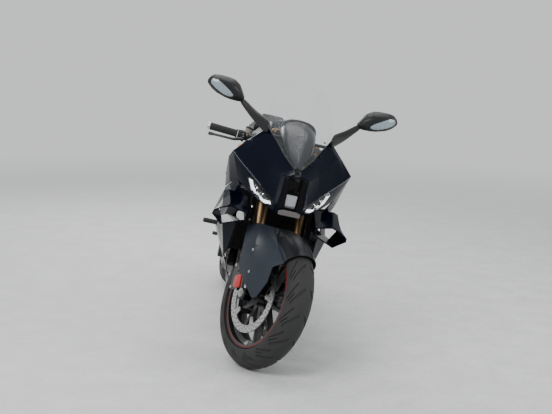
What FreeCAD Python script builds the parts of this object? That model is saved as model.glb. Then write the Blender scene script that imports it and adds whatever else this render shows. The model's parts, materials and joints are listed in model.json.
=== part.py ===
import FreeCAD, Part
import math
import os

# A faired sport bike, parked on its side stand with the steering on its left stop.
# Every piece is modelled upright: X to the rider's left, Y to the rear, Z up, Y = 0 midway
# between the axles, Z = 0 the floor. The whole bike is then leaned on to its stand.
# Lengths are millimetres, angles degrees.

# Chassis geometry. The fork's offset gives a trail of 99.8
FRONT_AXLE = (-728.0, 300.0)
WHEELBASE = 1456.0
REAR_AXLE_UP = 320.0
RAKE = 23.6
FORK_OFFSET = 28.652
LEAN = 11.8
STEER_LOCK = 26.0
STEER_REST = 26.0
ORIGIN_X = 224.68
ORIGIN_Y = 19.95

# Tyres: a round crown of radius CROWN on a ring of radius RADIUS - CROWN
FRONT_RADIUS = 300.0
FRONT_CROWN = 60.0
REAR_RADIUS = 320.0
REAR_CROWN = 94.0
TYRE_WALL = 9.0
BEAD_SEAT = 213.0
FLANGE_RADIUS = 221.0
FLANGE = 6.5
FRONT_BEAD_HALF = 44.5
REAR_BEAD_HALF = 76.2
BARREL = 6.0
WELL_DROP = 16.0
SEAT_GAP = 0.3
RUN_GAP = 0.08

# Wheels
SPOKE_PAIRS = 5
SPOKE_ROOT_SPREAD = 9.0
SPOKE_TIP_SPREAD = 17.0
FRONT_HUB_RADIUS = 34.0
FRONT_HUB_HALF = 52.0
REAR_HUB_RADIUS = 42.0
REAR_HUB_HALF = 62.0
AXLE_FRONT_RADIUS = 12.5
AXLE_REAR_RADIUS = 14.0
AXLE_BORE = 7.0

# Brakes
FRONT_DISC_RADIUS = 160.0
FRONT_DISC_BAND = 33.0
FRONT_DISC_X = 66.0
DISC_THICK = 5.0
DISC_LUG_RADIUS = 104.0
DISC_LUG_HALF = 11.0
REAR_DISC_RADIUS = 110.0
REAR_DISC_BAND = 30.0
REAR_DISC_X = -84.0

# Final drive: the sprocket is as wide as its tooth tips can be inside the fixed chain
CRANKCASE_HALF = 138.0
CYLINDERS_HALF = 172.0
SUMP_HALF = 102.0
PLATE_IN = 139.0
PLATE_OUT = 165.0
POCKET = 34.0
CHAIN_X = 107.0
CHAIN_PITCH = 15.875
CHAIN_PLATE = 15.0
CHAIN_WIDTH = 18.0
CHAIN_ROLLER = 5.1
REAR_TEETH = 45
FRONT_TEETH = 17
SPROCKET_THICK = 5.5
COUNTERSHAFT = (80.0, 420.0)

# Fork
FORK_HALF = 105.0
FORK_TUBE_RADIUS = 27.0
FORK_SLIDER_RADIUS = 22.5
FORK_FOOT_TOP = 105.0
FORK_FOOT_RADIUS = 27.5
FORK_TUBE_LOW = 300.0
FORK_TUBE_TOP = 735.0
LOWER_CLAMP = (505.0, 540.0)
UPPER_CLAMP = (700.0, 722.0)
BAR_CLAMP = (655.0, 690.0)
HEAD_PIPE = (560.0, 688.0)
HEAD_PIPE_RADIUS = 37.0
STEM_RADIUS = 26.0
STEM_BORE_RADIUS = 9.0
STEM_BORE_DEPTH = 60.0

# Handlebars
BAR_END_X = 371.0
BAR_SWEEP = 28.0
BAR_DROOP = 5.0
BAR_RADIUS = 11.0
GRIP_RADIUS = 16.5
GRIP_LENGTH = 122.0

# Front mudguard: room over the tyre, and its span as angles from the front over the top
MUDGUARD_ROOM = 12.0
MUDGUARD_SPAN = (57.0, 150.0)

# Swingarm and frame
PIVOT = (170.0, 405.0)
PIVOT_TUBE_RADIUS = 30.0
PIVOT_BOSS_IN = 130.0
BRACE_REAR = 372.0
ARM_REAR_IN = 124.0
ARM_REAR_OUT = 158.0
BOBBIN_RADIUS = 4.0
BOBBIN_DEPTH = 22.0
BOBBIN_AHEAD = 68.0
BOBBIN_UP = 2.0

# Exhaust outlet, as x and z, beside the rear tyre's shoulder
OUTLET = (-114.0, 262.0)
OUTLET_REAR = 448.0
OUTLET_RADIUS = 19.0
OUTLET_DEPTH = 60.0

# Side stand
STAND_PIVOT = (128.0, 95.0, 228.0)
STAND_REACH = (168.0, -78.0)
STAND_LEG_RADIUS = 12.0
STAND_STOWED = (0.20, 0.95, 0.20)
STAND_EYE_HALF = 12.0
STAND_EYE_RADIUS = 19.0
STAND_BOLT_RADIUS = 8.0
SIDE_GAP = 0.3
FOOT_LENGTH = 76.0
FOOT_WIDTH = 52.0
FOOT_THICK = 9.0

# Rear shock, between a clevis on the swingarm and one on the frame's bridge
SHOCK_LOW = (262.0, 338.0)
SHOCK_HIGH = (232.0, 602.0)
SHOCK_EYE_HALF = 12.0
SHOCK_EYE_RADIUS = 15.0
SHOCK_BOLT_RADIUS = 6.0
SPRING_RADIUS = 30.0
SPRING_WIRE = 6.0
SPRING_PITCH = 23.0
SPRING_LOW = 62.0
SPRING_HIGH = 196.0

# Bodywork
PANEL = 4.0
SCREEN = 4.0
LAMP_DEPTH = 26.0
NOSE_FLANGE_IN = 19.0
MIRROR_BACK = -482.0
STAY_Y = -600.0
SEAM_GAP = 0.9

# Filler cap, hinged at its front edge
CAP_RADIUS = 42.0
CAP_BASE = 4.0
CAP_HINGE = 47.0
CAP_HINGE_UP = 8.4
CAP_PIN_RADIUS = 2.0
CAP_NECK_RADIUS = 20.0

# The tank's front feet stand against the inner faces of the spars
TANK_FOOT = 154.0

AXLE_FRONT = FreeCAD.Vector(0, *FRONT_AXLE)
AXLE_REAR = FreeCAD.Vector(0, FRONT_AXLE[0] + WHEELBASE, REAR_AXLE_UP)
RAKE_RAD = math.radians(RAKE)
FORK_UP = FreeCAD.Vector(0, math.sin(RAKE_RAD), math.cos(RAKE_RAD))
FORK_BACK = FreeCAD.Vector(0, math.cos(RAKE_RAD), -math.sin(RAKE_RAD))
X_AXIS = FreeCAD.Vector(1, 0, 0)
ORIGIN = FreeCAD.Vector(0, 0, 0)
STRAIGHT = math.radians(89.5)
RAIL_LOW = FreeCAD.Vector(120, 20, 672)
RAIL_HIGH = FreeCAD.Vector(78, 420, 766)
RAIL_RADIUS = 13.0


# Basic shapes
def vec(x, y, z):
    return FreeCAD.Vector(x, y, z)


def mirrored(shape):
    """The same piece on the other side of the bike."""
    return shape.mirror(ORIGIN, X_AXIS)


def both(shape):
    return [shape, mirrored(shape)]


def fused(shapes):
    first, rest = shapes[0], shapes[1:]
    return first.fuse(rest).removeSplitter() if rest else first


def rod(start, end, radius):
    return Part.makeCylinder(radius, (end - start).Length, start, end - start)


def polygon(points):
    return Part.makePolygon(points + points[:1])


def rounded(points, radius):
    """A closed wire through the points, each corner rounded by a tangent arc."""
    corners = []
    for i, corner in enumerate(points):
        before = points[i - 1] - corner
        after = points[(i + 1) % len(points)] - corner
        room = 0.45 * min(before.Length, after.Length)
        half = before.getAngle(after) / 2
        if half > STRAIGHT:
            corners.append((corner, None, corner))
            continue
        before.normalize()
        after.normalize()
        reach = min(radius / math.tan(half), room)
        middle = (before + after).normalize() * (reach / math.cos(half) - reach * math.tan(half))
        corners.append((corner + before * reach, corner + middle, corner + after * reach))
    edges = []
    for i, (start, middle, end) in enumerate(corners):
        if middle:
            edges.append(Part.Arc(start, middle, end).toShape())
        edges.append(Part.makeLine(end, corners[(i + 1) % len(corners)][0]))
    return Part.Wire(edges)


def loft(wires, ruled=False):
    return Part.makeLoft(wires, True, ruled)


def side_prism(outline, x_low, x_high, radius=0.0):
    """A side-view outline of (y, z) points, extruded across the bike."""
    points = [vec(x_low, y, z) for y, z in outline]
    wire = rounded(points, radius) if radius else polygon(points)
    return Part.Face(wire).extrude(vec(x_high - x_low, 0, 0))


def front_prism(outline, y_low, y_high, radius=0.0):
    """A front-view outline of (x, z) points, extruded along the bike."""
    points = [vec(x, y_low, z) for x, z in outline]
    wire = rounded(points, radius) if radius else polygon(points)
    return Part.Face(wire).extrude(vec(0, y_high - y_low, 0))


def turned(points, centre):
    """A profile of (x, radius) points revolved about the wheel axis through centre."""
    wire = polygon([centre + vec(x, 0, r) for x, r in points])
    return Part.Face(wire).revolve(centre, X_AXIS, 360)


def inset(points, wall):
    """A convex outline of (a, b) pairs moved inwards by wall."""
    area = sum(p[0] * q[1] - q[0] * p[1] for p, q in zip(points, points[1:] + points[:1]))
    sign = 1.0 if area > 0 else -1.0
    lines = []
    for p, q in zip(points, points[1:] + points[:1]):
        length = math.hypot(q[0] - p[0], q[1] - p[1])
        normal = (-(q[1] - p[1]) / length * sign, (q[0] - p[0]) / length * sign)
        lines.append((normal, normal[0] * p[0] + normal[1] * p[1] + wall))
    moved = []
    for (n1, d1), (n2, d2) in zip(lines[-1:] + lines[:-1], lines):
        det = n1[0] * n2[1] - n1[1] * n2[0]
        moved.append(((d1 * n2[1] - d2 * n1[1]) / det, (n1[0] * d2 - n2[0] * d1) / det))
    return moved


def symmetric(half):
    """A closed outline from its left half, listed from top to bottom."""
    return half + [(-x, z) for x, z in reversed(half)]


def across(outline, y):
    return [vec(x, y, z) for x, z in outline]


def on_fork(along, back=0.0, x=0.0):
    """A point along the fork leg from the axle, moved back square to it."""
    return AXLE_FRONT + FORK_UP * along + FORK_BACK * back + vec(x, 0, 0)


def arc_strip(centre, radius, wall, start, end, steps=4):
    """Side-view outline of a band about centre; angles from the front, over the top."""
    def at(r, angle):
        a = math.radians(angle)
        return vec(0, centre.y - r * math.cos(a), centre.z + r * math.sin(a))
    middle = (start + end) / 2
    outer = Part.Arc(at(radius, start), at(radius, middle), at(radius, end)).toShape()
    inner = Part.Arc(at(radius - wall, end), at(radius - wall, middle), at(radius - wall, start)).toShape()
    return Part.Wire([
        outer,
        Part.makeLine(at(radius, end), at(radius - wall, end)),
        inner,
        Part.makeLine(at(radius - wall, start), at(radius, start)),
    ])


# Wheels
def tyre(centre, radius, crown, bead_half):
    ring = radius - crown
    foot = FLANGE_RADIUS + 2.0
    side_r = max(foot + 8.0, ring - 0.15 * crown)
    side_x = math.sqrt(crown ** 2 - (side_r - ring) ** 2)
    inner = crown - TYRE_WALL
    inner_r = side_r - 2.0
    inner_x = math.sqrt(inner ** 2 - (inner_r - ring) ** 2)
    bead_out = bead_half - SEAT_GAP
    bead_in = bead_out - TYRE_WALL
    seat = BEAD_SEAT + SEAT_GAP

    def at(x, r):
        return centre + vec(x, 0, r)
    edges = [
        Part.Arc(at(-side_x, side_r), at(0, radius), at(side_x, side_r)).toShape(),
        Part.makeLine(at(side_x, side_r), at(bead_out, foot)),
        Part.makeLine(at(bead_out, foot), at(bead_out, seat)),
        Part.makeLine(at(bead_out, seat), at(bead_in, seat)),
        Part.makeLine(at(bead_in, seat), at(inner_x, inner_r)),
        Part.Arc(at(inner_x, inner_r), at(0, ring + inner), at(-inner_x, inner_r)).toShape(),
        Part.makeLine(at(-inner_x, inner_r), at(-bead_in, seat)),
        Part.makeLine(at(-bead_in, seat), at(-bead_out, seat)),
        Part.makeLine(at(-bead_out, seat), at(-bead_out, foot)),
        Part.makeLine(at(-bead_out, foot), at(-side_x, side_r)),
    ]
    return Part.Face(Part.Wire(edges)).revolve(centre, X_AXIS, 360)


def rim_barrel(centre, bead_half):
    well = BEAD_SEAT - WELL_DROP
    shelf = bead_half - 20.0
    slope = shelf - 14.0
    outer = [
        (-bead_half - FLANGE, FLANGE_RADIUS), (-bead_half, FLANGE_RADIUS),
        (-bead_half, BEAD_SEAT), (-shelf, BEAD_SEAT), (-slope, well),
        (slope, well), (shelf, BEAD_SEAT), (bead_half, BEAD_SEAT),
        (bead_half, FLANGE_RADIUS), (bead_half + FLANGE, FLANGE_RADIUS),
    ]
    inner = [
        (bead_half + FLANGE, BEAD_SEAT - BARREL), (shelf + 2, BEAD_SEAT - BARREL),
        (slope + 2, well - BARREL), (-slope - 2, well - BARREL),
        (-shelf - 2, BEAD_SEAT - BARREL), (-bead_half - FLANGE, BEAD_SEAT - BARREL),
    ]
    return turned(outer + inner, centre)


def spoke(centre, angle_root, angle_tip, hub_radius, root_half, tip_half):
    """One tapered spoke from the hub into the rim well."""
    root_r = hub_radius - 6.0
    tip_r = BEAD_SEAT - WELL_DROP - BARREL / 2
    wires = []
    for angle, r, wide, deep in ((angle_root, root_r, 13.0, root_half), (angle_tip, tip_r, 8.0, tip_half)):
        a = math.radians(angle)
        out = vec(0, math.cos(a), math.sin(a))
        side = vec(0, -math.sin(a), math.cos(a))
        corners = [centre + out * r + side * (s * wide) + X_AXIS * (d * deep) for s, d in
                   ((-1, -1), (1, -1), (1, 1), (-1, 1))]
        wires.append(rounded(corners, 4.0))
    return loft(wires, True)


def rim(centre, bead_half, hub_radius, hub_half, bore, root_half, tip_half):
    pieces = [rim_barrel(centre, bead_half)]
    pieces.append(rod(centre - X_AXIS * hub_half, centre + X_AXIS * hub_half, hub_radius))
    for i in range(SPOKE_PAIRS):
        middle = 90.0 + i * 360.0 / SPOKE_PAIRS
        for side in (-1, 1):
            root = middle + side * SPOKE_ROOT_SPREAD
            tip = middle + side * SPOKE_TIP_SPREAD
            pieces.append(spoke(centre, root, tip, hub_radius, root_half, tip_half))
    body = fused(pieces)
    return body.cut(rod(centre - X_AXIS * 2 * hub_half, centre + X_AXIS * 2 * hub_half, bore))


def disc_lug_points(centre, x):
    points = []
    for i in range(SPOKE_PAIRS):
        a = math.radians(90.0 + i * 360.0 / SPOKE_PAIRS)
        points.append(centre + vec(x, DISC_LUG_RADIUS * math.cos(a), DISC_LUG_RADIUS * math.sin(a)))
    return points


def front_disc(side):
    """A brake ring with five inner lugs that bolt to the wheel's bosses."""
    x = side * FRONT_DISC_X - DISC_THICK / 2
    centre = AXLE_FRONT + X_AXIS * x
    ring = rod(centre, centre + X_AXIS * DISC_THICK, FRONT_DISC_RADIUS)
    inner = FRONT_DISC_RADIUS - FRONT_DISC_BAND
    ring = ring.cut(rod(centre, centre + X_AXIS * DISC_THICK, inner))
    pieces = [ring]
    for i, tip in enumerate(disc_lug_points(AXLE_FRONT, x)):
        out = (tip - centre).normalize()
        cross = X_AXIS.cross(out)
        foot = centre + out * (inner + 4)
        half = DISC_LUG_HALF
        outline = [foot - cross * 1.8 * half, foot + cross * 1.8 * half,
                   tip + cross * half, tip - cross * half]
        pieces.append(Part.Face(polygon(outline)).extrude(X_AXIS * DISC_THICK))
        pieces.append(rod(tip, tip + X_AXIS * DISC_THICK, half))
    return fused(pieces)


def front_rim():
    body = rim(AXLE_FRONT, FRONT_BEAD_HALF, FRONT_HUB_RADIUS, FRONT_HUB_HALF,
               AXLE_FRONT_RADIUS + RUN_GAP, 24.0, 15.0)
    bosses = []
    for side in (-1, 1):
        inner_x = side * 6.0
        outer_x = side * (FRONT_DISC_X - DISC_THICK / 2 - 0.05)
        for a, b in zip(disc_lug_points(AXLE_FRONT, inner_x), disc_lug_points(AXLE_FRONT, outer_x)):
            bosses.append(rod(a, b, DISC_LUG_HALF - 1.0))
    webs = []
    for i in range(SPOKE_PAIRS):
        a = math.radians(90.0 + i * 360.0 / SPOKE_PAIRS)
        out = vec(0, math.cos(a), math.sin(a))
        cross = X_AXIS.cross(out)
        middle = AXLE_FRONT + out * DISC_LUG_RADIUS
        corners = [middle + cross * s * 32 + out * d for s, d in ((-1, -12), (1, -12), (1, 6), (-1, 6))]
        base = [c - X_AXIS * 9 for c in corners]
        webs.append(Part.Face(polygon(base)).extrude(X_AXIS * 18))
    return fused([body] + webs + bosses)


def rear_rim():
    body = rim(AXLE_REAR, REAR_BEAD_HALF, REAR_HUB_RADIUS, REAR_HUB_HALF,
               AXLE_REAR_RADIUS + RUN_GAP, 30.0, 20.0)
    carrier_end = CHAIN_X - SPROCKET_THICK / 2 - 0.05
    carrier = rod(AXLE_REAR + X_AXIS * (REAR_HUB_HALF - 4), AXLE_REAR + X_AXIS * carrier_end, 56.0)
    disc_end = REAR_DISC_X + DISC_THICK / 2 + 0.05
    flange = rod(AXLE_REAR - X_AXIS * (REAR_HUB_HALF - 4), AXLE_REAR + X_AXIS * disc_end, 48.0)
    bore = rod(AXLE_REAR - X_AXIS * 120, AXLE_REAR + X_AXIS * 120, AXLE_REAR_RADIUS + RUN_GAP)
    return fused([body, carrier, flange]).cut(bore)


def rear_disc():
    start = AXLE_REAR + X_AXIS * (REAR_DISC_X - DISC_THICK / 2)
    end = start + X_AXIS * DISC_THICK
    return rod(start, end, REAR_DISC_RADIUS).cut(rod(start, end, 40.0))


def pitch_radius(teeth):
    return CHAIN_PITCH / (2 * math.sin(math.pi / teeth))


def rear_sprocket():
    """A toothed ring; the teeth end just inside the fixed chain's rollers."""
    tip = pitch_radius(REAR_TEETH) - CHAIN_ROLLER - 1.2
    root = tip - 5.0
    start = AXLE_REAR + X_AXIS * (CHAIN_X - SPROCKET_THICK / 2)
    points = []
    for i in range(REAR_TEETH):
        for part, r in ((0.0, root), (0.28, root), (0.45, tip), (0.83, tip)):
            a = 2 * math.pi * (i + part) / REAR_TEETH
            points.append(start + vec(0, r * math.cos(a), r * math.sin(a)))
    disc = Part.Face(polygon(points)).extrude(X_AXIS * SPROCKET_THICK)
    cuts = [rod(start, start + X_AXIS * SPROCKET_THICK, 40.0)]
    for i in range(SPOKE_PAIRS):
        a = 2 * math.pi * i / SPOKE_PAIRS
        middle = start + vec(0, 80 * math.cos(a), 80 * math.sin(a))
        cuts.append(rod(middle, middle + X_AXIS * SPROCKET_THICK, 16.0))
    return disc.cut(cuts)


# Swingarm and final drive
def loop_outline(grow):
    """Side-view wire of the chain's path, grown outwards by grow."""
    big, small = pitch_radius(REAR_TEETH) + grow, pitch_radius(FRONT_TEETH) + grow
    fy, fz = COUNTERSHAFT
    dy, dz = AXLE_REAR.y - fy, AXLE_REAR.z - fz
    distance = math.hypot(dy, dz)
    lie = math.atan2(dz, dy)
    tilt = math.asin((big - small) / distance)

    def on(centre_y, centre_z, r, angle):
        return vec(0, centre_y + r * math.cos(angle), centre_z + r * math.sin(angle))
    up, down = lie + math.pi / 2 + tilt, lie - math.pi / 2 - tilt
    ry, rz = AXLE_REAR.y, AXLE_REAR.z
    return Part.Wire([
        Part.Arc(on(ry, rz, big, down), on(ry, rz, big, lie), on(ry, rz, big, up)).toShape(),
        Part.makeLine(on(ry, rz, big, up), on(fy, fz, small, up)),
        Part.Arc(on(fy, fz, small, up), on(fy, fz, small, lie + math.pi), on(fy, fz, small, down)).toShape(),
        Part.makeLine(on(fy, fz, small, down), on(ry, rz, big, down)),
    ])


def drive_chain():
    """The chain as one closed loop: two runs of side plates joined by a thin roller band."""
    half = CHAIN_PLATE / 2

    def band(low, high, x, width):
        outer = Part.Face(loop_outline(high)).extrude(X_AXIS * width)
        inner = Part.Face(loop_outline(low)).extrude(X_AXIS * width)
        ring = outer.cut(inner)
        ring.translate(X_AXIS * x)
        return ring
    rollers = band(-CHAIN_ROLLER, CHAIN_ROLLER, CHAIN_X - CHAIN_WIDTH / 2 + 1, CHAIN_WIDTH - 2)
    left = band(-half, half, CHAIN_X + CHAIN_WIDTH / 2 - 4, 4)
    right = band(-half, half, CHAIN_X - CHAIN_WIDTH / 2, 4)
    return fused([rollers, left, right])


def front_sprocket():
    fy, fz = COUNTERSHAFT
    centre = vec(CHAIN_X - SPROCKET_THICK / 2, fy, fz)
    radius = pitch_radius(FRONT_TEETH) - CHAIN_ROLLER - SEAT_GAP
    shaft = rod(vec(CHAIN_X - POCKET / 2 + SIDE_GAP, fy, fz), centre, 14.0)
    return fused([rod(centre, centre + X_AXIS * SPROCKET_THICK, radius), shaft])


def clevis(outline, eye):
    """Two ears of the given side view, either side of a shock's eye, with their bolt."""
    near, far = SHOCK_EYE_HALF + SIDE_GAP, SHOCK_EYE_HALF + SIDE_GAP + 8
    ears = [side_prism(outline, near, far, 5.0), side_prism(outline, -far, -near, 5.0)]
    return ears + [rod(vec(-far, *eye), vec(far, *eye), SHOCK_BOLT_RADIUS)]


def bobbin(x):
    """A point of the stand bobbin's bore, ahead of the rear axle."""
    return AXLE_REAR + vec(x, -BOBBIN_AHEAD, BOBBIN_UP)


def swingarm():
    """Two arms, each a loft of rounded boxes, with a pivot tube, a brace and the shock's clevis."""
    # columns: y, inner x, outer x, low z, high z
    stations = [
        (PIVOT[0] - 34, 84, 122, 374, 436),
        (PIVOT[0] + 60, 89, 127, 366, 434),
        (PIVOT[0] + 190, 120, 154, 330, 440),
        (AXLE_REAR.y - 190, ARM_REAR_IN, ARM_REAR_OUT, 292, 404),
        (AXLE_REAR.y - 40, ARM_REAR_IN, ARM_REAR_OUT, 288, 356),
        (AXLE_REAR.y + 42, ARM_REAR_IN, ARM_REAR_OUT, 290, 350),
    ]
    wires = [rounded([vec(a, y, lo), vec(b, y, lo), vec(b, y, hi), vec(a, y, hi)], 9.0)
             for y, a, b, lo, hi in stations]
    left = loft(wires, True)
    end = PIVOT_BOSS_IN - SIDE_GAP
    tube = rod(vec(-end, *PIVOT), vec(end, *PIVOT), PIVOT_TUBE_RADIUS)
    brace = side_prism([(300, 372), (BRACE_REAR, 380), (BRACE_REAR, 408), (300, 412)], -128, 128, 8.0)
    y, z = SHOCK_LOW
    ear = [(306, 382), (336, 382), (y + 22, z - 12), (y + 4, z - 17), (y - 14, z - 10), (y - 14, z + 12)]
    body = fused([left, mirrored(left), tube, brace] + clevis(ear, SHOCK_LOW))
    pivot_bore = rod(vec(-200, *PIVOT), vec(200, *PIVOT), 12.0)
    axle_bore = rod(AXLE_REAR - X_AXIS * 200, AXLE_REAR + X_AXIS * 200, AXLE_REAR_RADIUS)
    way = ARM_REAR_OUT - BOBBIN_DEPTH
    bobbins = [rod(bobbin(s * way), bobbin(s * 200), BOBBIN_RADIUS) for s in (-1, 1)]
    return body.cut([pivot_bore, axle_bore] + bobbins)


def hollow_axle(centre, half, radius, head):
    """A hollow spindle with a hexagon-sized head on its left."""
    end = centre + X_AXIS * half
    pieces = [rod(centre - X_AXIS * half, end, radius), rod(end, end + X_AXIS * 9, head),
              rod(centre - X_AXIS * (half + 8), centre - X_AXIS * half, head)]
    bore = rod(centre - X_AXIS * 2 * half, centre + X_AXIS * 2 * half, AXLE_BORE)
    return fused(pieces).cut(bore)


def rear_shock():
    """A damper with its coil spring between two collars, and an eye at each end."""
    low, high = vec(0, *SHOCK_LOW), vec(0, *SHOCK_HIGH)
    way = (high - low).normalize()
    across_eye = X_AXIS * SHOCK_EYE_HALF
    eyes = [rod(p - across_eye, p + across_eye, SHOCK_EYE_RADIUS) for p in (low, high)]
    shaft = rod(low, low + way * SPRING_LOW, 11.0)
    body = rod(low + way * SPRING_LOW, high - way * (SHOCK_EYE_RADIUS + 6), 19.0)
    neck = rod(high - way * 40, high, 11.0)
    collars = [rod(low + way * (SPRING_LOW - 8), low + way * SPRING_LOW, SPRING_RADIUS + 8),
               rod(low + way * SPRING_HIGH, low + way * (SPRING_HIGH + 10), SPRING_RADIUS + 8)]
    side = low + way * (SPRING_HIGH + 32)
    reservoir = rod(side - X_AXIS * 12, side - X_AXIS * 78, 15.0)
    coil = Part.makeHelix(SPRING_PITCH, SPRING_HIGH - SPRING_LOW, SPRING_RADIUS)
    wire = Part.Wire(Part.makeCircle(SPRING_WIRE, vec(SPRING_RADIUS, 0, 0), vec(0, 1, 0.12)))
    spring = Part.Wire(coil).makePipeShell([wire], True, True)
    spring.Placement = FreeCAD.Placement(low + way * SPRING_LOW, FreeCAD.Rotation(vec(0, 0, 1), way))
    damper = fused(eyes + [shaft, body, neck] + collars + [reservoir])
    bolts = [rod(p - across_eye * 2, p + across_eye * 2, SHOCK_BOLT_RADIUS) for p in (low, high)]
    ends = Part.makeCylinder(60, SPRING_HIGH - SPRING_LOW, low + way * SPRING_LOW, way)
    return [damper.cut(bolts), spring.common(ends)]


def from_axle(points):
    """Side-view points given from the rear axle."""
    return [(AXLE_REAR.y + a, AXLE_REAR.z + b) for a, b in points]


def rear_caliper():
    """A small caliper over the disc, on a bracket that hangs on the spindle."""
    body = side_prism(from_axle([(-88, 36), (-28, 68), (-38, 112), (-118, 90), (-128, 50)]), -117, -64, 10.0)
    slot = rod(AXLE_REAR + X_AXIS * (REAR_DISC_X - DISC_THICK / 2 - 2),
               AXLE_REAR + X_AXIS * (REAR_DISC_X + DISC_THICK / 2 + 2), REAR_DISC_RADIUS + 3)
    outer, inner = -ARM_REAR_IN + SIDE_GAP, -112.0
    eye = rod(vec(outer, AXLE_REAR.y, AXLE_REAR.z), vec(inner, AXLE_REAR.y, AXLE_REAR.z), 27.0)
    outline = from_axle([(-76, 46), (-24, 16), (14, 10), (0, 32), (-34, 78), (-68, 80)])
    arm = side_prism(outline, outer, inner, 3.0)
    bore = rod(AXLE_REAR - X_AXIS * 200, AXLE_REAR, AXLE_REAR_RADIUS + RUN_GAP)
    return fused([body.cut(slot), eye, arm]).cut(bore)


def rear_hugger():
    """The inner rear mudguard: a band over the tyre, on feet behind the swingarm's brace."""
    radius = REAR_RADIUS + 14 + PANEL
    strip = Part.Face(arc_strip(AXLE_REAR, radius, PANEL, 8, 84)).extrude(X_AXIS * 192)
    strip.translate(X_AXIS * -100)
    cheek = Part.Face(arc_strip(AXLE_REAR, radius, 42, 8, 60)).extrude(X_AXIS * PANEL)
    cheek.translate(X_AXIS * -104)
    reach = AXLE_REAR.y - math.sqrt(radius ** 2 - (394 - AXLE_REAR.z) ** 2) + 2
    feet = [side_prism([(BRACE_REAR + SIDE_GAP, 385), (BRACE_REAR + SIDE_GAP, 403), (reach, 403), (reach, 385)],
                       x, x + 22) for x in (-80, 58)]
    room = rod(AXLE_REAR - X_AXIS * 200, AXLE_REAR + X_AXIS * 200, radius - PANEL)
    return fused([strip, cheek] + [foot.cut(room) for foot in feet])


# Engine, frame and exhaust
def engine():
    """One block: crankcase, cylinders and two round covers, with a pocket for the chain."""
    crankcase = side_prism([(-250, 306), (118, 306), (128, 372), (60, 470), (-120, 520)],
                           -CRANKCASE_HALF, CRANKCASE_HALF, 18.0)
    sump = side_prism([(-236, 330), (-206, 242), (60, 238), (110, 330)], -SUMP_HALF, SUMP_HALF, 12.0)
    half = CYLINDERS_HALF
    cylinders = side_prism([(-262, 394), (-60, 520), (-200, 715), (-330, 620)], -half, half, 22.0)
    clutch = rod(vec(-CRANKCASE_HALF, 48, 390), vec(-154, 48, 390), 58.0)
    generator = rod(vec(CRANKCASE_HALF, -150, 388), vec(152, -150, 388), 50.0)
    covers = [c.makeFillet(8.0, [c.Edges[0]]) for c in (clutch, generator)]
    reach = PLATE_IN - SIDE_GAP
    mount = rod(vec(-reach, 138, 345), vec(reach, 138, 345), 14.0)
    fy, fz = COUNTERSHAFT
    pocket = Part.makeBox(POCKET, 200, 162, vec(CHAIN_X - POCKET / 2, fy - 60, fz - 102))
    return fused([crankcase, sump, cylinders, mount] + covers).cut(pocket)


def radiator():
    """A core with side tanks, leaning back ahead of the exhaust pipes, on two posts."""
    core = side_prism([(-372, 420), (-398, 700), (-362, 704), (-336, 424)], -156, 156, 3.0)
    tank = side_prism([(-376, 414), (-404, 708), (-356, 712), (-328, 418)], 156, 182, 8.0)
    post = rod(vec(80, -374, 695), vec(80, -374, 790), 7.0).cut(spar().translated(vec(0, 0, -SIDE_GAP)))
    post = min(post.Solids, key=lambda s: s.CenterOfMass.z)
    return fused([core, tank, mirrored(tank), post, mirrored(post)])


# Left frame spar. columns: y, inner x, outer x, low z, high z
SPAR = [
    (-440, 16, 44, 800, 880),
    (-392, 44, 80, 770, 850),
    (-340, 92, 128, 750, 835),
    (-240, 150, 188, 735, 800),
    (-90, 162, 198, 655, 748),
    (40, 150, 186, 545, 660),
    (118, 136, 168, 440, 570),
]


def spar():
    wires = [rounded([vec(a, y, lo), vec(b, y, lo), vec(b, y, hi), vec(a, y, hi)], 10.0)
             for y, a, b, lo, hi in SPAR]
    return loft(wires, True)


def main_frame(ground):
    """A twin-spar frame: head pipe, two spars over the engine, pivot plates and seat rails."""
    outline = [(60, 560), (150, 570), (206, 460), (212, 360), (176, 270), (110, 262), (134, 340), (136, 440)]
    plate = side_prism(outline, PLATE_IN, PLATE_OUT, 14.0)
    boss = rod(vec(PIVOT_BOSS_IN, *PIVOT), vec(PLATE_OUT + 3, *PIVOT), 30.0)
    hanger = side_prism([(-262, 745), (-190, 725), (-200, 655), (-236, 655)], CYLINDERS_HALF + SIDE_GAP,
                        CYLINDERS_HALF + 10, 6.0)
    bridge = side_prism([(112, 545), (142, 525), (156, 571), (122, 595)], -150, 150, 8.0)
    y, z = SHOCK_HIGH
    ear = [(120, 552), (146, 552), (y + 4, z - 15), (y + 15, z), (y + 4, z + 15), (y - 20, z + 14), (126, 590)]
    axis_low = steering_point(HEAD_PIPE[0])
    axis_high = steering_point(HEAD_PIPE[1])
    pipe = rod(axis_low, axis_high, HEAD_PIPE_RADIUS)
    left = fused([spar(), plate, boss, hanger] + subframe())
    body = fused([left, mirrored(left), pipe, bridge, stand_lug(ground)] + clevis(ear, SHOCK_HIGH))
    stem_bore = rod(axis_low - FORK_UP * 40, axis_high + FORK_UP * 40, STEM_RADIUS + RUN_GAP)
    pivot_bore = rod(vec(-200, *PIVOT), vec(200, *PIVOT), 12.0)
    return body.cut([stem_bore, pivot_bore])


def steering_point(along):
    """A point on the steering axis, as far up as the fork leg's point at along."""
    return on_fork(along, FORK_OFFSET)


def exhaust(block):
    """Four pipes from the cylinder head under the engine to a collector, and a can on the right."""
    pipes = []
    for i in range(4):
        x = -105 + 70 * i
        points = [(-285, 540), (-317, 470), (-313, 330), (-250, 212), (-110, 198)]
        corners = [vec(x * (1.0 if n < 3 else 0.7), y, z) for n, (y, z) in enumerate(points)]
        pipes.append(bent_tube(corners, 18.0))
    box = side_prism([(-112, 180), (70, 180), (92, 196), (70, 220), (-112, 220)], -94, 94, 8.0)
    link = bent_tube([vec(-40, 60, 200), vec(-46, 110, 204), vec(-66, 175, 232)], 24.0)
    body = fused(pipes + [box, link, silencer()])
    return body.cut(block)


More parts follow.
